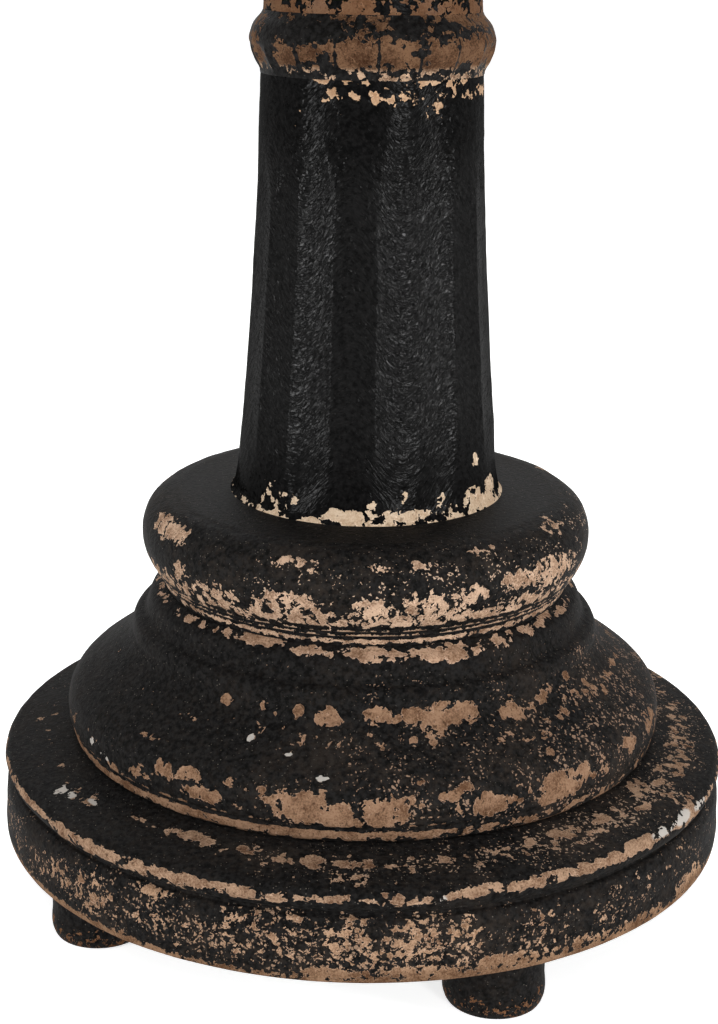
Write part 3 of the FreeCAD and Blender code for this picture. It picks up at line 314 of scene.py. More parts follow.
TORUS_CHIPS = [
    ((62.2, 99.5), (-38, 8.4, 4.3, 0.6)), ((62.7, 100.9), (1, 5.2, 3.7, 0.75)),
    ((62.8, 101.6), (-18, 10.1, 3.5, 0.72)), ((62.9, 102), (14, 8, 3.5, 0.72)),
    ((63, 103.1), (-51, 3.8, 2.6, 0.6), (25, 6.3, 3.3, 0.7)), ((63.1, 104.2), (52, 12.1, 4.1, 0.75)),
    ((63, 105.3), (38, 4.4, 2.8, 0.85)),
    ((60.7, 111.8), (-61, 11.1, 3.1, 0.85), (-18, 10.1, 2.1, 0.45), (2, 5.3, 1.3, 0.52),
     (14, 4, 1.9, 0.62)), ((60.2, 112.4), (-20, 2.4, 1.3, 0.65)), ((58.7, 113.7), (30, 4.1, 1.9, 0.52)),
    ((57.7, 114.3), (58, 7, 4, 0.42)),
]
SHAFT_CHIPS = [
    ((38.3, 115.8), (-29, 7.2, 0.8, 0.7)), ((37.3, 117.4), (16, 6.5, 2.4, 0.9), (34, 5.4, 2.2, 0.6)),
    ((37.2, 117.7), (-6, 7.8, 2.4, 0.9)), ((37, 118.4), (54, 5.7, 3.4, 0.9)),
    ((36.7, 119.9), (67, 4, 3.6, 0.85)), ((36.5, 121), (-42, 7.2, 4.2, 0.42), (2, 1.3, 1.6, 0.7)),
    ((36.3, 122.6), (32, 2.2, 2.3, 0.55)), ((36.2, 123), (16, 0.9, 2, 0.75)),
    ((35.8, 129.3), (56, 1.7, 2.2, 0.7)), ((30, 219.1), (-40, 0.7, 0.8, 0.6)),
    ((30, 220.2), (35, 1.3, 0.8, 0.65)), ((29.9, 221.8), (-38, 0.7, 0.8, 0.6)),
    ((29.9, 222.2), (28, 0.9, 1.4, 0.7)), ((29.9, 222.6), (-16, 1, 1.4, 0.7)),
    ((29.8, 223.8), (35, 1.3, 1, 0.65)), ((29.8, 225.3), (1, 1.5, 1.2, 0.8)),
    ((29.7, 226.9), (-11, 1, 1, 0.75)), ((29.6, 228.8), (14, 1.8, 1.6, 0.68)),
    ((29.6, 229.6), (-4, 2.3, 1, 0.72), (38, 9.3, 1.6, 0.58)),
    ((29.6, 230), (-25, 2.7, 0.8, 0.62), (-12, 1.8, 0.8, 0.72), (26, 1.8, 0.8, 0.62)),
]
COLLAR_PAINT_LEFT = [
    ((30, 231), (-12, 2.6, 0.9, -0.8), (31, 4.2, 0.7, -0.7)), ((30.1, 231.6), (2, 3.2, 0.8, -0.7)),
    ((30.4, 232.2), (50, 2.4, 1.1, -0.7)), ((31.4, 233.8), (-23, 2.5, 2.4, -1)),
    ((31.8, 235.2), *[(2.6 + FLAT_TURN * count, 0.5, 4.4, -0.85) for count in range(-4, 5)]),
    ((32.5, 237), (22, 2.3, 1.1, -1)), ((32.5, 238.9), (-57, 3.6, 6.5, -1)),
    ((31.9, 242.2), (-32, 9.6, 3.5, -1)), ((30.6, 243.6), (38, 3.4, 1.6, -0.8)),
    ((30.3, 244.1), (16, 4.8, 3.4, -1)), ((30.3, 244.4), (-6, 3.0, 1.4, -0.8)),
]
UPPER_SHAFT_CHIPS = [
    ((28.6, 254), (12, 1.5, 2, 0.7)), ((28.3, 259), (-38, 1.2, 1.4, 0.7)),
    ((27.2, 292), (52, 1, 2.4, 0.65)), ((26.05, 340), (34, 1.2, 1.4, 0.7)),
    ((26, 343), (-20, 1.6, 1.8, 0.7)),
]
CAPITAL_CHIPS = [
    ((26.4, 363.5), (4, 5, 1.4, 0.7)), ((26.6, 364.6), (44, 4, 2, 0.7)),
    ((27, 365.5), (-30, 3, 1.6, 0.7)), ((29, 369), (25, 6, 3.2, 0.8)), ((29.8, 370), (-48, 4, 3, 0.7)),
    ((31.5, 371.6), (-12, 5, 2.4, 0.75)), ((34.4, 373.6), (50, 4, 2, 0.75)),
    ((41.7, 378.2), (-22, 6, 1.2, 0.8)), ((41.8, 379), (-40, 3, 1.8, 0.75)),
    ((41.8, 379.3), (60, 4, 2, 0.7)), ((41.9, 380.3), (-64, 5, 1.5, 0.8), (14, 8, 1.6, 0.85)),
    ((41.9, 381), (-5, 4, 2.2, 0.75)), ((41.6, 382.4), (38, 5, 1.4, 0.8)),
]

# Whitish chips, as the others; some of them are painted highlights on the edges

PLINTH_UPPER_CHALK_AND_HIGHLIGHTS = [
    ((103.4, 40.6), (10.5, 1.4, 1, 0.8)), ((103.1, 41.7), (62, 4, 1, 0.7)),
    ((102.6, 42.3), (50, 5, 1.1, 0.75), (55.5, 4, 1.5, 0.8)), ((95.5, 44.3), (-58, 3.2, 2.6, 0.6)),
    ((94.6, 44.5), (-55.5, 1.6, 1.5, 0.7)), ((92.1, 44.9), (-50.5, 2.6, 0.9, 0.7)),
]
MOULDING_CHALK_AND_HIGHLIGHTS = [
    ((85, 53.8), (-55, 3, 0.8, 0.7)), ((84.9, 54.9), (-60, 1.6, 1.2, 0.75)),
    ((80.7, 62.7), (-7.5, 2, 0.8, 0.75)), ((76, 66.1), (-14.5, 1.3, 0.6, 0.75)),
    ((73.5, 67.8), (-23.5, 0.8, 1.2, 0.9)),
]


def away(place, radius, height):
    """The distance of each point of a rim from a place on it."""
    return np.hypot(radius - place[0], height - place[1])


def worn_belts(belts, azimuth, radius, height):
    """Wear from belts round a piece, the largest counting.

    A belt has a place on the rim (radius, height), a half width in millimetres, and a strength at
    each of some azimuths. Wear is the strength, in straight lines between the azimuths, times a bump
    of the distance from the place.
    """
    wear = np.zeros_like(radius)
    for place, half_width, strengths in belts:
        strength = np.interp(np.degrees(azimuth), list(strengths), list(strengths.values()), period=360)
        wear = np.maximum(wear, strength * bump(away(place, radius, height), half_width))
    return wear


def worn_spots(places, azimuth, radius, height, behind=True):
    """Wear from single chips, the largest counting, and the share of it that paint left takes away.

    The distance from a chip's place is a share of half its width and half its height, and the wear is
    its strength times one less half the square of that share. Paint that is left takes away as much.
    The back of the piece can have the same chips, turned half round and spread a little wider.
    """
    wear, left = np.zeros_like(radius), np.zeros_like(radius)
    degrees = np.degrees(azimuth)
    spots = [(turn, place, *rest) for place, *chips in places for turn, *rest in chips]
    opposite = [(180 - 1.12 * turn, *rest) for turn, *rest in spots if behind and abs(turn) < 82]
    for turn, place, half_width, half_height, strength in [*spots, *opposite]:
        across = np.radians(turn_between(degrees, turn)) * place[0] / half_width
        up = away(place, radius, height) / half_height
        flat = np.clip(1 - 0.5 * np.hypot(across, up) ** 2, 0, 1)
        if strength < 0:
            left = np.maximum(left, -strength * flat)
        else:
            wear = np.maximum(wear, strength * flat)
    return wear, left


def grooves(places, radius, height):
    """The depth of turned grooves: for each place, its depth times a bump of the distance from it."""
    depth = np.zeros_like(radius)
    for place, half_width, deep in places:
        depth = np.maximum(depth, deep * bump(away(place, radius, height), half_width))
    return depth


def set_values(thing, name, values):
    """A number or a vector at each point of a mesh, under a name that materials read."""
    kind, key = ("FLOAT_VECTOR", "vector") if values.ndim == 2 else ("FLOAT", "value")
    thing.data.attributes.new(name, kind, "POINT").data.foreach_set(key, values.ravel())


def turned_wood(label, paint, rim, columns, seed, relief=None, belts=(), spots=(), dusty=(), cuts=(),
                chalk_and_highlight_spots=(), spacing=0.75, under=1, turning=0.07):
    """A turned piece, swept once round from its rim, and pushed along its outward normals.

    The push is a slow wobble round the piece, fine turning lines that are the same all round and as
    deep as turning says, small unevenness, cut grooves and the relief. All fade to nothing on the
    flat hidden faces, which are the first runs of the rim, as many as under says, and the last one.
    The materials read the wear and two places on a cylinder of the largest radius, as high as the
    rim is long: a straight one, and one that dips by a cosine seven times round the piece, along
    which the paint's wrinkles slant down and up again like a feather's barbs.
    """
    path = rim_path(rim, spacing)
    length = path_lengths(path)
    run_ends = np.cumsum([len(smooth_run(run, spacing)) - 1 for run in rim])
    shown = length[run_ends[under - 1]], length[run_ends[-2]]
    # Far inside the joints every twelfth row is enough
    hidden = (length < shown[0] - 8) | (length > shown[1] + 8)
    keep = ~hidden | (np.arange(len(path)) % 12 == 0)
    keep[[0, *run_ends]] = True
    path = path[keep]
    length = path_lengths(path)
    normals = outward(path)
    azimuth = np.linspace(0, 2 * math.pi, columns, endpoint=False)
    around, along = np.meshgrid(azimuth, length)
    radius, height = (np.repeat(path[:, [k]], columns, axis=1) for k in (0, 1))
    fade = step_up(along, shown[0] - 1, shown[0] + 2) * (1 - step_up(along, shown[1] - 2, shown[1] + 1))
    # The wobble, the turning lines, and unevenness of two sizes
    push = 0.18 * lattice(around, along, 7, 60, seed)
    push += turning * lattice(0 * around, along, 1, 1.7, seed + 1)
    push += (0.09 * lattice(around, along, 46, 9, seed + 2)
             + 0.05 * lattice(around, along, 120, 3.4, seed + 3))
    cut = grooves(cuts, radius, height)
    push -= cut
    if relief is not None:
        push += relief(around, height)
    push *= fade
    thing = revolved(f"{label}_wood", path, columns, closed=True, corners=50,
                     push=(push * normals[:, :1], push * normals[:, 1:]))
    chipped, left = worn_spots(spots, around, radius, height)
    wear = np.maximum(worn_belts(belts, around, radius, height), chipped) * (1 - left)
    wear *= 1 - np.clip(cut / 0.3, 0, 1)
    # Whitish chips, partly painted highlights on edges, which also take the paint off in the wear
    chalk_and_highlight = worn_spots(chalk_and_highlight_spots, around, radius, height, behind=False)[0]
    set_values(thing, "wear", np.maximum(wear, chalk_and_highlight).ravel())
    set_values(thing, "dust", np.clip(worn_belts(dusty, around, radius, height), 0, 1).ravel())
    set_values(thing, "chalk_and_highlight", chalk_and_highlight.ravel())
    widest = float(np.max(path[:, 0]))
    for name, dip in (("turned_place", 0.0), ("feathered_place", 6.3)):
        place = np.stack([widest * np.sin(around), -widest * np.cos(around),
                          along + dip * np.cos(7 * (around - math.radians(16)))], axis=-1)
        set_values(thing, name, place.reshape(-1, 3) * MM)
    dressed(thing, label, "lamp", paint)


def flutes(bottom, top, arch, depth, fade):
    """Relief of carved flats round the shaft, with arched tops.

    Across a flat the depth is one less the squared share of its half width, which makes it flat on a
    round shaft. Up the shaft it ends at a parabola, whose crown is the flat's own drop below the top
    and whose sides are lower by the arch, and it fades out over a length above the bottom.
    """
    def relief(azimuth, height):
        flat = (np.degrees(azimuth) - FIRST_FLAT) / FLAT_TURN % FLATS
        share = (flat % 1 - 0.5) * 2
        crown = top - np.array(FLAT_DROPS)[flat.astype(int)] - arch * share ** 2
        up = step_up(crown - height, 0, 9) * step_up(height, bottom, bottom + fade)
        return -depth * (1 - share ** 2) * up
    return relief


def cord_inlet(azimuth, height):
    """Relief of the seat and hole of the cord's bushing at the back: 2.3 mm within 6.7 mm of its
    middle, and 15 mm within 4.9 mm."""
    across = PLINTH_RADIUS * np.sin(np.clip(azimuth - math.pi, -0.2, 0.2))
    from_axis = np.hypot(across, height - INLET_HEIGHT)
    return -2.3 * (from_axis < 6.7) - 12.7 * (from_axis < 4.9)


def facets(low, high, depth):
    """Relief of carved facets on the collar's lower half, in line with the flats below.

    Across a facet the depth is one less the squared share of its half width, and its face leans out
    to the right and falls back over the last part, so there is a small step to the next one.
    """
    def relief(azimuth, height):
        half = FLAT_TURN / 2
        share = turn_between(np.degrees(azimuth), FIRST_FLAT + half) % FLAT_TURN
        share = np.where(share > half, share - FLAT_TURN, share) / half
        up = step_up(height, low - 1.5, low + 1) * (1 - step_up(height, high - 1, high + 0.8))
        tilt = np.where(share < 0.84, share, 0.84 - (share - 0.84) * 11.5)
        return (-depth * (1 - share ** 2) + 0.3 * tilt) * up
    return relief


# Materials

def material(name):
    """An empty material and its node tree."""
    finish = bpy.data.materials.new(name)
    finish.use_nodes = True
    tree = finish.node_tree
    tree.nodes.clear()
    return finish, tree


def node(tree, kind, inputs=None, **settings):
    """A node with its settings, and its inputs as values or as links."""
    made = tree.nodes.new("ShaderNode" + kind)
    for key, value in settings.items():
        setattr(made, key, value)
    for key, value in (inputs or {}).items():
        if isinstance(value, bpy.types.NodeSocket):
            tree.links.new(value, made.inputs[key])
        else:
            made.inputs[key].default_value = value
    return made


def arithmetic(tree, operation, *values, clamp=False):
    """The result of a Math node."""
    return node(tree, "Math", dict(enumerate(values)), operation=operation, use_clamp=clamp).outputs[0]


def times(tree, value, by, plus=None, clamp=False):
    """A value times another, and plus a third where there is one."""
    third = () if plus is None else (plus,)
    return arithmetic(tree, "MULTIPLY_ADD" if third else "MULTIPLY", value, by, *third, clamp=clamp)


def less(tree, value, other, clamp=False):
    """A value less another."""
    return arithmetic(tree, "SUBTRACT", value, other, clamp=clamp)


def between(tree, value, low, high, start=0.0, end=1.0):
    """A value carried from one range to another, smoothly and held at its ends."""
    return node(tree, "MapRange", {"Value": value, "From Min": low, "From Max": high, "To Min": start,
                                   "To Max": end}, interpolation_type="SMOOTHSTEP").outputs[0]


def mix(tree, share, first, second, how="MIX"):
    """Two colours mixed by a share."""
    colours = {index: colour if isinstance(colour, bpy.types.NodeSocket) else (*colour, 1)
               for index, colour in ((6, first), (7, second))}
    return node(tree, "Mix", {0: share, **colours}, data_type="RGBA", blend_type=how).outputs[2]


def noise(tree, place, scale, detail=3.0, roughness=0.55, distortion=0.0, output="Fac"):
    """Noise about 0.5 at a scale in waves a metre."""
    return node(tree, "TexNoise", {"Vector": place, "Scale": scale, "Detail": detail,
                                   "Roughness": roughness, "Distortion": distortion}).outputs[output]


def flakes(tree, place, scale):
    """The outputs of a pattern of ragged cells, at a scale in cells a metre."""
    return node(tree, "TexVoronoi", {"Vector": place, "Scale": scale}).outputs


def chance(tree, pattern):
    """A random value for each cell of a pattern."""
    return node(tree, "SeparateColor", {0: pattern["Color"]}).outputs[0]


def stretched(tree, place, scale):
    """Coordinates stretched along their axes."""
    return node(tree, "Mapping", {"Vector": place, "Scale": scale}).outputs[0]


def attribute(tree, name, output="Fac"):
    """A value kept at the points of a mesh."""
    return node(tree, "Attribute", attribute_name=name).outputs[output]


def surface(tree, colour, roughness, height, depth, **sockets):
    """A Principled shader with a bump, as a height times a depth in metres, joined to the output."""
    raised = node(tree, "Bump", {"Strength": 1.0, "Distance": depth, "Height": height}).outputs[0]
    inputs = {"Base Color": colour, "Roughness": roughness, "Normal": raised, "Coat Normal": raised}
    inputs.update((key.replace("_", " "), value) for key, value in sockets.items())
    shader = node(tree, "BsdfPrincipled", inputs)
    tree.links.new(shader.outputs[0], node(tree, "OutputMaterial").inputs[0])


def dimmed(colour, by):
    """A colour times a number."""
    return tuple(channel * by for channel in colour)


def worn_paint(name, wood_light, wood_dark, speckle=0.0, gloss=0.68, wrinkle=0.3, dusting=1.0,
               streak=0.6, lumps=0.3, chip_scale=270.0, paint=(0.0065, 0.0062, 0.0060), tints_and_painted_shade=(),
               fades=(), sheen=0.03, varnish=0.0, varnish_blur=0.3):
    """Satin black paint on wood, chipped where the wear says so.

    A chip is where wear plus noise is above one half: two scales of cloud, and a random value for
    each cell of a bent pattern of flakes. The paint is a thin step above the wood, wrinkled or
    brushed, with brown dust, and the wood has grain, pits and a pale broken edge. Where the third
    attribute says, the wood turns pale grey, for whitish chips and for painted highlights on edges.
    Each tint_and_shade is a height range in metres, over which the wood comes to be multiplied by a
    colour; the shaft's first is painted shade, darker where the lamps light the wood strongly. Each
    fade is one over which the wrinkles and the varnish come to be multiplied by an end value, from a
    start.
    """
    finish, tree = material(name)
    place = node(tree, "TexCoord").outputs["Object"]
    wear, dust, chalk_and_highlight = (attribute(tree, kind) for kind in ("wear", "dust", "chalk_and_highlight"))
    coarse = noise(tree, place, chip_scale, 2.0, 0.5, 0.4)
    fine = noise(tree, place, chip_scale * 3.3, 2.0, 0.5)
    bend = noise(tree, place, 620.0, 2.0, 0.5, output="Color")
    bent = node(tree, "VectorMath", {0: bend, 1: (0.0026, 0.0026, 0.0026), 2: place},
                operation="MULTIPLY_ADD").outputs[0]
    flake = chance(tree, flakes(tree, bent, chip_scale * 1.6))
    uneven = None
    for part, strength in ((flake, 0.46), (fine, 0.5), (coarse, 1.45)):
        uneven = times(tree, less(tree, part, 0.5), strength, uneven)
    level = times(tree, uneven, between(tree, wear, 0.0, 0.3, 0.5, 1.0), wear)
    chip = between(tree, level, 0.485, 0.515)
    edge = less(tree, chip, between(tree, level, 0.52, 0.58), clamp=True)
    # Specks of bare wood, and of pale dust in the paint
    from_grain = flakes(tree, bent, 900.0)["Distance"]
    speck_size = times(tree, noise(tree, place, 130.0), 1.1, times(tree, dust, 0.42, speckle - 0.76))
    speck = between(tree, less(tree, speck_size, from_grain), -0.02, 0.03)
    lint = flakes(tree, place, 1500.0)
    lint = less(tree, times(tree, chance(tree, lint), 0.8, -0.56), lint["Distance"])
    lint = between(tree, lint, -0.03, 0.06)
    # Wood: blotches, fine grain and dark pits, a pale edge, and pale grey places that are partly whitish
    # chips and partly painted highlights on edges
    grain = noise(tree, place, 1900.0, 3.0, 0.7)
    blotch = noise(tree, place, 170.0, 3.0, 0.6)
    wood = mix(tree, between(tree, times(tree, grain, 0.5, times(tree, blotch, 0.5)), 0.36, 0.62),
               wood_dark, wood_light)
    wood = mix(tree, between(tree, fine, 0.60, 0.72, 0.0, 0.75), wood, dimmed(wood_dark, 0.5))
    pale = tuple(min(1.0, channel * 1.35 + 0.04) for channel in wood_light)
    wood = mix(tree, times(tree, edge, 0.6), wood, pale)
    height_up = node(tree, "SeparateXYZ", {0: place}).outputs[2]
    for low, high, tint_and_shade in tints_and_painted_shade:
        tinted_and_shaded = mix(tree, 1.0, wood, tint_and_shade, "MULTIPLY")
        wood = mix(tree, between(tree, height_up, low, high), wood, tinted_and_shaded)
    # Pale grey where the third attribute says: whitish chips, and painted highlights on edges
    wood = mix(tree, between(tree, chalk_and_highlight, 0.1, 0.4, 0.0, 0.85), wood, (0.42, 0.40, 0.37))
    # Paint: slow and fine changes of tone, brown dust and specks
    tone = noise(tree, place, 55.0)
    mottle = between(tree, noise(tree, place, 760.0, 3.0, 0.65), 0.36, 0.66)
    skin = mix(tree, mottle, dimmed(paint, 0.35), dimmed(paint, 1.9))
    brown = between(tree, times(tree, noise(tree, place, 520.0, 4.0, 0.7), 0.7, times(tree, tone, 0.4)),
                    0.48, 0.74, 0.0, dusting)
    brown = times(tree, brown, times(tree, dust, 0.8, 0.2))
    skin = mix(tree, brown, skin, (0.032, 0.025, 0.020))
    skin = mix(tree, times(tree, lint, dusting, clamp=True), skin, (0.15, 0.13, 0.11))
    skin = mix(tree, speck, skin, tuple(channel * 0.8 + 0.03 for channel in wood_light))
    # Relief, in shares of half a millimetre
    slanted = stretched(tree, attribute(tree, "feathered_place", "Vector"), (0.42, 0.42, 1))
    leather = noise(tree, slanted, 1150.0, 1.0, 0.4, 0.5)
    for low, high, start, end in fades:
        share = between(tree, height_up, low, high, start, end)
        leather, varnish = (times(tree, share, value) for value in (leather, varnish))
    lines = stretched(tree, attribute(tree, "turned_place", "Vector"), (0.06, 0.06, 1))
    brushed = noise(tree, lines, 900.0, 3.0, 0.6)
    pebbles = noise(tree, place, 1500.0, 2.0, 0.6)
    relief = times(tree, brushed, 0.16 * streak, times(tree, leather, wrinkle))
    relief = times(tree, pebbles, lumps, relief)
    height = times(tree, chip, less(tree, times(tree, grain, 0.16, -0.46), relief), relief)
    roughness = times(tree, pebbles, 0.16, gloss - 0.08)
    roughness = times(tree, chip, 0.30, times(tree, brown, 0.22, roughness))
    surface(tree, mix(tree, chip, skin, wood), roughness, height, 0.0005, Specular_IOR_Level=sheen,
            Coat_Weight=varnish, Coat_Roughness=varnish_blur)
    return finish


def metal(name, colour, dull, roughness):
    """Metal with clouded tarnish and fine scratches that run round it."""
    finish, tree = material(name)
    place = node(tree, "TexCoord").outputs["Object"]
    cloud = between(tree, noise(tree, place, 90.0, 4.0, 0.65), 0.40, 0.68)
    lines = noise(tree, stretched(tree, place, (0.08, 0.08, 1.0)), 2600.0, 2.0, 0.6)
    rough = times(tree, cloud, 0.22, times(tree, lines, 0.16, roughness - 0.08))
    surface(tree, mix(tree, cloud, colour, dull), rough, lines, 0.00003, Metallic=1.0)
    return finish


def moulded(name, colour, roughness, grain_scale=1800.0, grain=0.00005):
    """Moulded or coated stuff with a fine grain and slightly uneven sheen."""
    finish, tree = material(name)
    place = node(tree, "TexCoord").outputs["Object"]
    fine = noise(tree, place, grain_scale, 2.0, 0.5)
    slow = noise(tree, place, 70.0)
    light = tuple(min(1.0, channel * 1.12 + 0.004) for channel in colour)
    surface(tree, mix(tree, slow, colour, light), times(tree, slow, 0.14, roughness - 0.07), fine, grain)
    return finish


def woven(name, light, dark, thread=0.00055):
    """Plain weave from a UV map in metres: two crossing rows of rounded threads, each over the other
    in turn, with slubs of thicker and darker thread."""
    finish, tree = material(name)
    flat = node(tree, "UVMap", uv_map="weave").outputs[0]
    parts = node(tree, "SeparateXYZ", {0: flat}).outputs
    waves = [arithmetic(tree, "SINE", times(tree, parts[k], math.pi / thread)) for k in (0, 1)]
    warp, weft = (arithmetic(tree, "ABSOLUTE", wave) for wave in waves)
    height = arithmetic(tree, "ADD", times(tree, arithmetic(tree, "MAXIMUM", warp, weft), 0.7),
                        times(tree, times(tree, *waves), 0.3))
    thick = [noise(tree, stretched(tree, flat, scale), 900.0, 2.0, 0.6)
             for scale in ((1.0, 0.04, 1), (0.04, 1.0, 1))]
    slub = between(tree, arithmetic(tree, "MAXIMUM", *thick), 0.50, 0.72)
    # Painted shade: the cloth is darker where the weave is low, between the threads
    painted_thread_shade = times(tree, less(tree, 1.0, between(tree, height, 0.30, 0.75)), 0.45)
    surface(tree, mix(tree, times(tree, slub, 0.55, painted_thread_shade), light, dark), 0.86,
            times(tree, slub, 0.4, height), 0.00012,
            Sheen_Weight=0.25, Sheen_Roughness=0.5, Specular_IOR_Level=0.25)
    return finish


def opal(name):
    """Opal glass: white, faintly clouded, with a glossy skin."""
    finish, tree = material(name)
    place = node(tree, "TexCoord").outputs["Object"]
    cloud = noise(tree, place, 60.0)
    surface(tree, mix(tree, cloud, (0.84, 0.83, 0.80), (0.90, 0.89, 0.87)), 0.16, cloud, 0.00002,
            Coat_Weight=0.4, Coat_Roughness=0.05)
    return finish


shaft_paint = worn_paint(
    "shaft_paint", (0.56, 0.435, 0.315), (0.38, 0.26, 0.165), -0.3, gloss=0.24, wrinkle=1.0,
    dusting=0.06, streak=0.05, lumps=0.04, paint=(0.0030, 0.0029, 0.0029),
    # The first of these is painted shade: it darkens the bare wood high on the lower shaft, where the
    # lamps light it strongly
    tints_and_painted_shade=[(0.17, 0.215, (0.78, 0.66, 0.57)), (0.2385, 0.2445, (0.32, 0.255, 0.22))],
    fades=[(0.118, 0.15, 0.4, 1.0), (0.198, 0.22, 1.0, 0.5), (0.25, 0.265, 1.0, 2.0)],
    sheen=0.0, varnish=0.12, varnish_blur=0.18)
collar_paint = worn_paint(
    "collar_paint", (0.44, 0.30, 0.20), (0.11, 0.06, 0.036), gloss=0.46, wrinkle=0.2, dusting=0.3,
    streak=0.1, lumps=0.24, chip_scale=400.0, tints_and_painted_shade=[(0.2318, 0.2335, (0.32, 0.255, 0.21))])
torus_paint = worn_paint(
    "torus_paint", (0.50, 0.345, 0.24), (0.15, 0.082, 0.048), 0.05, gloss=0.6, dusting=0.9, streak=0.5,
    lumps=0.34, chip_scale=400.0)
moulding_paint = worn_paint(
    "moulding_paint", (0.25, 0.150, 0.093), (0.085, 0.042, 0.022), 0.08, gloss=0.66, dusting=0.8,
    tints_and_painted_shade=[(0.079, 0.083, (1.7, 1.85, 2.0)), (0.2, 0.3, (0.6, 0.55, 0.5))])
plinth_paint = worn_paint("plinth_paint", (0.34, 0.222, 0.146), (0.10, 0.050, 0.028), 0.08)
band_paint = worn_paint("band_paint", (0.25, 0.15, 0.09), (0.085, 0.042, 0.022), 0.12, chip_scale=500.0,
                        tints_and_painted_shade=[(0.0205, 0.0235, (1.55, 1.65, 1.75))])
foot_paint = worn_paint("foot_paint", (0.17, 0.080, 0.038), (0.06, 0.027, 0.013), gloss=0.6, wrinkle=0.2,
                        dusting=0.7, streak=0.4, lumps=0.24, chip_scale=620.0)
dark_brass = metal("dark_brass", (0.42, 0.30, 0.13), (0.16, 0.105, 0.05), 0.34)
zinc = metal("zinc_plate", (0.60, 0.60, 0.58), (0.42, 0.42, 0.40), 0.36)
aluminium = metal("thin_aluminium", (0.80, 0.80, 0.81), (0.66, 0.66, 0.67), 0.30)
black_plastic = moulded("black_plastic", (0.012, 0.012, 0.013), 0.42)
card = moulded("insulating_card", (0.15, 0.105, 0.06), 0.8, 900.0, 0.0001)
white_wire = moulded("white_powder_coat", (0.78, 0.77, 0.74), 0.45, 1500.0, 0.00006)
film = moulded("white_film", (0.80, 0.79, 0.76), 0.38, 2500.0, 0.00002)
linen = woven("linen", (0.66, 0.585, 0.46), (0.45, 0.375, 0.27))
linen_tape = woven("linen_tape", (0.60, 0.52, 0.40), (0.40, 0.33, 0.235), 0.0004)
opal_glass = opal("opal_glass")

for finish, labels in (
        (zinc, ["lamp_pipe", "base_washer", "lock_washer", "base_nut", "saddle_nut"]),
        (dark_brass, ["check_ring", "neck_tube", "harp_saddle", "holder_cap", "holder_shell",
                      "centre_contact", "harp", "harp_stud", "harp_sleeve_front", "harp_sleeve_back",
                      "finial"]),
        (aluminium, ["screw_shell", "bulb_cap"]),
        (black_plastic, ["cord_bushing", "holder_core", "switch_knob"]),
        (card, ["holder_insulator"]),
        (opal_glass, ["bulb_glass"]),
        (white_wire, ["shade_spider", "shade_top_ring", "shade_bottom_ring"]),
        (film, ["shade_liner"]),
        (linen, ["shade_cover"]),
        (linen_tape, ["shade_top_trim", "shade_bottom_trim"])):
    for label in labels:
        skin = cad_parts[label].data
        skin.materials.clear()
        skin.materials.append(finish)


# The wood pieces from the bottom up. Belts of wear and of dust are a place on the rim, a half width,
# and a strength at each azimuth.

turned_wood(
    "plinth_lower", band_paint, PLINTH_LOWER_RIM, 900, 11, cord_inlet, under=3, spots=PLINTH_LOWER_CHIPS,
    belts=[((103.3, 27), 11, {-60: 0.26, -20: 0.3, 0: 0.31, 12: 0.28, 24: 0.14, 60: 0.06, 180: 0.3}),
           ((103.4, 18.8), 3.1, {-90: 0.8, -60: 0.95, -30: 0.9, -25: 0.6, -18: 0.8, -10: 0.55, 0: 0.85,
                                 60: 0.9, 180: 0.8})],
    dusty=[((103.3, 27), 16, {-70: 0.5, -30: 0.8, 0: 0.9, 30: 0.6, 60: 0.5, 180: 0.8})])
turned_wood(
    "plinth_upper", plinth_paint, PLINTH_UPPER_RIM, 900, 21, spots=PLINTH_UPPER_CHIPS,
    chalk_and_highlight_spots=PLINTH_UPPER_CHALK_AND_HIGHLIGHTS,
    belts=[((103.2, 41.3), 1.7, {-90: 0.7, -60: 0.85, -15: 0.8, -10: 0.5, 6: 0.5, 14: 0.85, 46: 0.8,
                                 54: 0.45, 80: 0.5, 180: 0.75}),
           ((92, 45), 9, {-60: 0.22, 0: 0.26, 40: 0.36, 75: 0.42, 110: 0.34, 200: 0.25})],
    dusty=[((92, 45), 16, {-90: 0.1, -45: 0.1, -25: 0.4, 0: 0.8, 40: 1.0, 80: 1.0, 180: 0.6})])
turned_wood(
    "base_moulding", moulding_paint, MOULDING_RIM, 800, 31, spots=MOULDING_CHIPS, chalk_and_highlight_spots=MOULDING_CHALK_AND_HIGHLIGHTS,
    belts=[((84.3, 49.4), 3.9, {-90: 0.85, -60: 0.95, 8: 0.95, 17: 0.52, 60: 0.44, 110: 0.7, 180: 0.9}),
           ((84.8, 53.6), 3.6, {-16: 0.0, -12: 0.9, 6: 0.9, 10: 0.0, 170: 0.0, 180: 0.8, 190: 0.0}),
           ((58.6, 88.1), 2.6, {-90: 0.4, 0: 0.5, 90: 0.5, 180: 0.5}),
           ((84.6, 56), 7, {-60: 0.2, 0: 0.3, 60: 0.33, 120: 0.3, 200: 0.25}),
           ((72, 69), 8, {-60: 0.14, 0: 0.24, 60: 0.3, 120: 0.25, 200: 0.2})],
    cuts=[((84.9, 50.5), 1.1, 0.6), ((63.3, 81.2), 1.0, 0.4)],
    dusty=[((80, 63), 45, {-90: 0.0, -40: 0.1, -20: 0.35, 10: 0.8, 60: 1.0, 90: 0.8, 180: 0.5})])
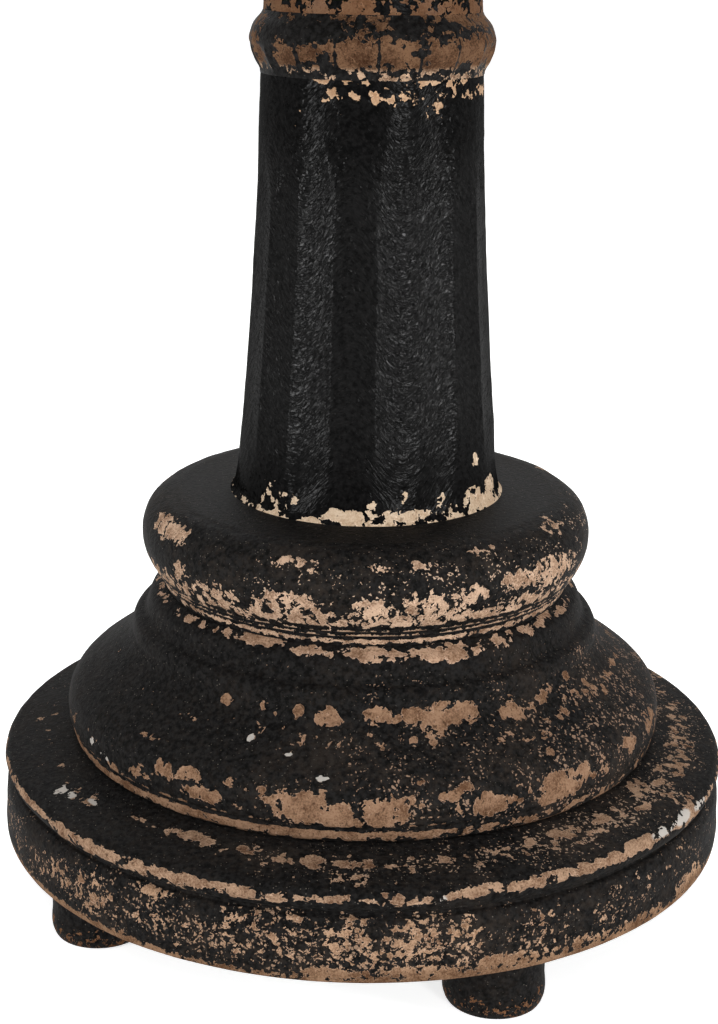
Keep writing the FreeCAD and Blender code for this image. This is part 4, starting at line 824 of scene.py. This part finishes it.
turned_wood(
    "base_torus", torus_paint, TORUS_RIM, 720, 41, spots=TORUS_CHIPS,
    belts=[((61.2, 97), 7.5, {-90: 0.5, -50: 0.56, -30: 0.62, 0: 0.64, 45: 0.6, 60: 0.5, 90: 0.5,
                              180: 0.6}),
           ((58.9, 93.2), 3, {-90: 0.6, -50: 0.78, 50: 0.78, 90: 0.7, 180: 0.78}),
           ((57.6, 91.4), 2.6, {-60: 0.7, 0: 0.95, 60: 0.8, 180: 0.8})],
    cuts=[((59, 93.3), 0.9, 0.6), ((60.2, 95.1), 0.6, 0.4), ((57.8, 91.8), 0.8, 0.5)],
    dusty=[((60, 108), 16, {-70: 0.4, -30: 0.6, 0: 0.8, 60: 0.8, 180: 0.7})])
turned_wood(
    "shaft_lower", shaft_paint, SHAFT_RIM, 480, 51, flutes(120, 217, 12, 0.64, 26), spots=SHAFT_CHIPS,
    belts=[((29.8, 226.3), 3, {-90: 0.1, -34: 0.15, -22: 0.47, 90: 0.5, 180: 0.46}),
           ((29.8, 225), 8, {-60: 0.05, -25: 0.1, -12: 0.26, 0: 0.2, 30: 0.3, 60: 0.15, 180: 0.25}),
           ((38.2, 116.2), 2.4, {-90: 0.4, -30: 0.5, 0: 0.6, 60: 0.66, 180: 0.5})], turning=0.02)
turned_wood(
    "collar_ring", collar_paint, COLLAR_RIM, 720, 61, facets(231.5, 237.6, 0.8), spots=COLLAR_PAINT_LEFT,
    belts=[((31.9, 236.4), 8.5, {-90: 0.62, -45: 0.86, 0: 0.9, 180: 0.86}),
           ((30.4, 244.2), 4.8, {-90: 0.4, -40: 0.5, -12: 0.66, 40: 0.7, 180: 0.64}),
           ((30.3, 231), 2.4, {-90: 0.1, -34: 0.2, -20: 0.58, 0: 0.62, 180: 0.6})])
turned_wood(
    "shaft_upper", shaft_paint, UPPER_SHAFT_RIM, 400, 71, flutes(262, 338, 12, 0.5, 20),
    spots=UPPER_SHAFT_CHIPS,
    belts=[((28.9, 246.6), 9, {-90: 0.6, -20: 0.62, 10: 0.5, 60: 0.62, 180: 0.6}),
           ((25.9, 349.4), 4, {-100: 0.5, 0: 0.6, 120: 0.5, 180: 0.62})], spacing=1.0, turning=0.02)
turned_wood(
    "capital_bead", collar_paint, BEAD_RIM, 360, 81,
    belts=[((30.2, 354.5), 5.5, {-120: 0.55, -60: 0.8, -20: 0.5, 30: 0.85, 80: 0.6, 150: 0.85})])
turned_wood(
    "capital", moulding_paint, CAPITAL_RIM, 420, 91, spots=CAPITAL_CHIPS,
    belts=[((41.7, 382.8), 2, {-90: 0.5, 0: 0.62, 90: 0.55, 180: 0.62}),
           ((40.4, 376.4), 1.8, {-60: 0.66, 60: 0.5, 180: 0.62}),
           ((26, 360.2), 2.4, {-90: 0.5, 0: 0.62, 180: 0.6})],
    dusty=[((32, 372), 20, {0: 0.6})])
turned_wood(
    "top_cap", moulding_paint, TOP_CAP_RIM, 400, 101,
    belts=[((35.2, 385.4), 2.4, {-60: 0.5, 0: 0.62, 120: 0.6, 220: 0.5}),
           ((26, 392.8), 6, {-90: 0.2, 60: 0.4, 180: 0.3})],
    dusty=[((28, 391), 12, {0: 0.8})])

foot_path = rim_path(chained((0, 0), [(11, 0)], [(12.5, 0.5), (13.1, 1.8), (13.15, 9), (13.15, 20)],
                             [(13.15, 26)], [(0, 26)]), 0.8)
for label in ("foot_front_right", "foot_back_left", "foot_front_left", "foot_back_right"):
    low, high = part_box(label)
    middle = (low + high) / 2 / MM
    foot = revolved(f"{label}_wood", foot_path, 120, (middle.x, middle.y))
    points = np.zeros(len(foot.data.vertices) * 3)
    foot.data.vertices.foreach_get("co", points)
    points = points.reshape(-1, 3)
    set_values(foot, "wear", 0.36 * bump(points[:, 2] / MM - 2.0, 9.0))
    set_values(foot, "dust", 0.3 + 0 * points[:, 2])
    set_values(foot, "turned_place", points)
    set_values(foot, "feathered_place", points)
    dressed(foot, label, "lamp", foot_paint)


# The fittings

finial_path = rim_path(chained(
    (0, 674.9), [(3.25, 674.9)], [(3.25, 661.2)], [(7.9, 661.2)],
    [(8.45, 661.8), (8.4, 662.9), (7.5, 663.5)], [(5, 664.5), (4, 666.2), (4.4, 667.9)],
    [(5.4, 668.4), (5.5, 669.2), (4.7, 669.9)],
    [(7, 672.8), (8.3, 676.6), (7.6, 680.8), (5, 684.4), (3.1, 686.5)], [(3.7, 687.2), (3.1, 687.9)],
    [(3, 689.6), (2.4, 691.6), (1.2, 692.9), (0, 693.2)]), 0.4)
dressed(revolved("finial_turned", finial_path), "finial", "finial_knob", dark_brass)
ring_path = rim_path(chained(
    (PIPE_HOLE, 397), [(18.6, 397)], [(19, 397.8), (18.9, 399.2), (18, 400.2)],
    [(17, 400.5), (13, 401.2)], [(11.6, 401.4), (10.6, 402)], [(PIPE_HOLE, 402)]), 0.5)
dressed(revolved("check_ring_turned", ring_path, 144, closed=True), "check_ring", "lamp", dark_brass)
neck_path = rim_path(chained(
    (PIPE_HOLE, 402), [(7.4, 402)], [(7.5, 402.4), (7.5, 403.4), (6.9, 404.1)],
    [(6.55, 408), (6.5, 413), (6.6, 418), (6.9, 421.9)], [(7.5, 422.6), (7.5, 423.6), (7.4, 424)],
    [(PIPE_HOLE, 424)]), 0.5)
dressed(revolved("neck_turned", neck_path, closed=True), "neck_tube", "lamp", dark_brass)

# The knob is ribbed, and its axis lies along X at the height of its spindle
SPINDLE_HEIGHT, KNOB_RIBS = 458.0, 22
knob_path = rim_path(chained(
    (0, 8.5), [(2, 8.5)], [(2, 18.2)], [(5, 18.2)],
    [(5.5, 18.7), (5.6, 19.6), (5.6, 26.8), (5.3, 28.2), (4.6, 28.9), (3.6, 29.2)],
    [(1.8, 28.8), (0, 28.7)]), 0.4)
knob_turns = np.linspace(0, 2 * math.pi, 8 * KNOB_RIBS, endpoint=False)
knob_rib = step_up(knob_path[:, 1], 18.9, 19.8) * (1 - step_up(knob_path[:, 1], 26.4, 27.8))
knob_push = -0.42 * knob_rib[:, None] * (0.5 - 0.5 * np.cos(KNOB_RIBS * knob_turns)) ** 2
dressed(revolved("switch_knob_ribbed", knob_path, centre=(0, SPINDLE_HEIGHT), turns=knob_turns,
                 order=(2, 0, 1), push=(knob_push, 0 * knob_push)),
        "switch_knob", "knob", black_plastic)

# The bushing's axis lies along Y at the height of the cord inlet
bushing_path = rim_path(chained(
    (3.1, 90.2), [(4.1, 90.2)], [(4.3, 90.5), (4.3, 101.2)], [(6.4, 101.2)],
    [(6.4, 102.2), (6.1, 102.9), (5.4, 103.2)], [(4.2, 103.1), (3.1, 102.4)], [(3.1, 90.2)]), 0.4)[:-1]
dressed(revolved("cord_bushing_moulded", bushing_path, centre=(INLET_HEIGHT, 0), closed=True,
                 order=(1, 2, 0)), "cord_bushing", "lamp", black_plastic)


# The shade's cloth, on a cone given by its radii and heights in millimetres

SHADE_BOTTOM_RADIUS, SHADE_TOP_RADIUS, SHADE_LOW, SHADE_HEIGHT = 185, 140, 432.6, 245
SHADE_HIGH = SHADE_LOW + SHADE_HEIGHT
SHADE_NARROWING = SHADE_BOTTOM_RADIUS - SHADE_TOP_RADIUS
TAPE_WIDTH, TAPE_RADIUS = 11, 165


def cloth_ring(name, label, finish, outside, inside, lap, flat):
    """A ring of thin cloth between an outside and an inside run of (radius, height), in millimetres.

    Its ends meet at the back, where the outer one laps over the other by four degrees: there the
    outside stands out by the lap, rises to it over a degree, and drops at the folded end. flat gives
    the flat place of each (radius, length along the path, azimuth), for the weave.
    """
    rim = np.vstack([outside, inside])
    turns = np.radians(np.concatenate([
        [0, 0.05], np.linspace(0.8, 355, 440), [355.6, 356.4, 359.2, 359.95]]))
    stand_out = lap * step_up(np.degrees(turns), 355.6, 356.4)
    push = np.where(np.arange(len(rim))[:, None] < len(outside), stand_out[None, :], 0)
    thing = revolved(name, rim, turns=turns + math.pi, closed=True, push=(push, 0 * push))
    around = np.append(turns, 2 * math.pi) - math.pi
    loop = np.vstack([rim, rim[:1]])
    weave_map(thing, MM * flat(loop[:, :1], path_lengths(loop)[:, None], around[None, :]))
    return dressed(thing, label, "shade", finish)


def cone_cut(radius, length, azimuth):
    """The flat cut of the shade's cone: a distance of the radius over the slope's sine from the
    cone's tip, at an angle of the azimuth times that sine."""
    sine = SHADE_NARROWING / math.hypot(SHADE_NARROWING, SHADE_HEIGHT)
    from_tip, angle = radius / sine, azimuth * sine
    return np.stack([from_tip * np.sin(angle), from_tip * np.cos(angle)], axis=-1)


def tape_cut(radius, length, azimuth):
    """The flat cut of a tape: the azimuth times a mean radius, and the length along the path."""
    return np.stack(np.broadcast_arrays(TAPE_RADIUS * azimuth + 0 * length, length), axis=-1)


def slope_run(low, high, stand_off, count):
    """Points up the shade's slope between two heights, at a distance outside its cloth."""
    height = np.linspace(low, high, count)
    narrowing = SHADE_NARROWING / SHADE_HEIGHT * (height - SHADE_LOW)
    return np.column_stack([SHADE_BOTTOM_RADIUS - narrowing + stand_off, height])


for label, low in (("shade_bottom_trim", SHADE_LOW), ("shade_top_trim", SHADE_HIGH - TAPE_WIDTH)):
    high = low + TAPE_WIDTH
    outside = np.vstack([slope_run(low, low, 0.36, 1), slope_run(low + 0.3, high - 0.3, 0.6, 9),
                         slope_run(high, high, 0.36, 1)])
    cloth_ring(f"{label}_tape", label, linen_tape, outside,
                            slope_run(high, low, 0.04, 2), 0.35, tape_cut)
cover = cloth_ring("shade_cover_cloth", "shade_cover", linen,
                   slope_run(SHADE_LOW, SHADE_HIGH, 0, 50), slope_run(SHADE_HIGH, SHADE_LOW, -0.6, 12),
                   0.5, cone_cut)


# Floor, light and camera

def background_rays(tree):
    """One for camera, glossy and transmission rays, which show the white background."""
    path = node(tree, "LightPath").outputs
    return arithmetic(tree, "MAXIMUM", path["Is Camera Ray"], arithmetic(
        tree, "MAXIMUM", path["Is Glossy Ray"], path["Is Transmission Ray"]))


# The floor is a wide pale disc just under the feet
FLOOR_RADIUS, FLOOR_CORNERS = 14, 96
turn = np.linspace(0, 2 * math.pi, FLOOR_CORNERS, endpoint=False)
points = np.column_stack([FLOOR_RADIUS * np.sin(turn), FLOOR_RADIUS * np.cos(turn), 0 * turn - 0.0002])
floor = mesh_object("floor", points, [list(range(FLOOR_CORNERS - 1, -1, -1))])
finish, tree = material("pale_floor")
shader = node(tree, "BsdfPrincipled", {
    "Base Color": (0.86, 0.86, 0.855, 1), "Roughness": 0.85, "Emission Color": (1, 1, 1, 1),
    "Emission Strength": times(tree, background_rays(tree), 0.7)})
tree.links.new(shader.outputs[0], node(tree, "OutputMaterial").inputs[0])
floor.data.materials.append(finish)
floor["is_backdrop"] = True


def softbox(name, azimuth, elevation, distance, width, height, watts, aim=(0, 0, 0.17)):
    """An area lamp at an azimuth and elevation in degrees, turned to face the lamp's column."""
    turn, lift = math.radians(azimuth), math.radians(elevation)
    place = np.array(aim) + distance * np.array([
        math.sin(turn) * math.cos(lift), -math.cos(turn) * math.cos(lift), math.sin(lift)])
    light = bpy.data.lights.new(name, "AREA")
    light.shape, light.size, light.size_y, light.energy = "RECTANGLE", width, height, watts
    lamp = bpy.data.objects.new(name, light)
    lamp.location = place
    lamp.rotation_euler = (math.radians(90 - elevation), 0, turn)
    lamp.visible_camera = False
    bpy.context.scene.collection.objects.link(lamp)


softbox("left_softbox", -54, 0, 0.66, 0.15, 0.1, 2.1)
softbox("near_right_softbox", 26, 0, 0.66, 0.12, 0.1, 1.7)
softbox("far_right_softbox", 63, 0, 0.66, 0.12, 0.1, 1.8)
softbox("front_softbox", -15, 42, 1.6, 1.2, 0.8, 5.0, aim=(0, 0, 0.3))
softbox("rear_softbox", 180, 38, 1.6, 1.4, 0.9, 14.0, aim=(0, 0, 0.3))

# The world lights the object with a strength of 0.36, and is white behind it
world = bpy.data.worlds.new("studio")
bpy.context.scene.world = world
world.use_nodes = True
sky = world.node_tree
sky.nodes.clear()
strength = times(sky, background_rays(sky), 0.64, 0.36)
glow = node(sky, "Background", {"Color": (1, 1, 1, 1), "Strength": strength})
sky.links.new(glow.outputs[0], node(sky, "OutputWorld").inputs[0])

# The camera as fitted to the ellipses of the turned rims, with its angle down and roll in degrees
LOOK_DOWN, ROLL = 17.22, -0.728
eye = bpy.data.cameras.new("camera")
eye.sensor_width, eye.sensor_fit, eye.lens = 36.0, "AUTO", 67.43
camera = bpy.data.objects.new("camera", eye)
bpy.context.scene.collection.objects.link(camera)
camera.location = (-0.0040, -0.520, 0.2691)
camera.rotation_euler = (math.radians(90 - LOOK_DOWN), math.radians(ROLL), 0)
bpy.context.scene.camera = camera
bpy.context.scene.view_settings.view_transform = "Standard"

low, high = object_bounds()
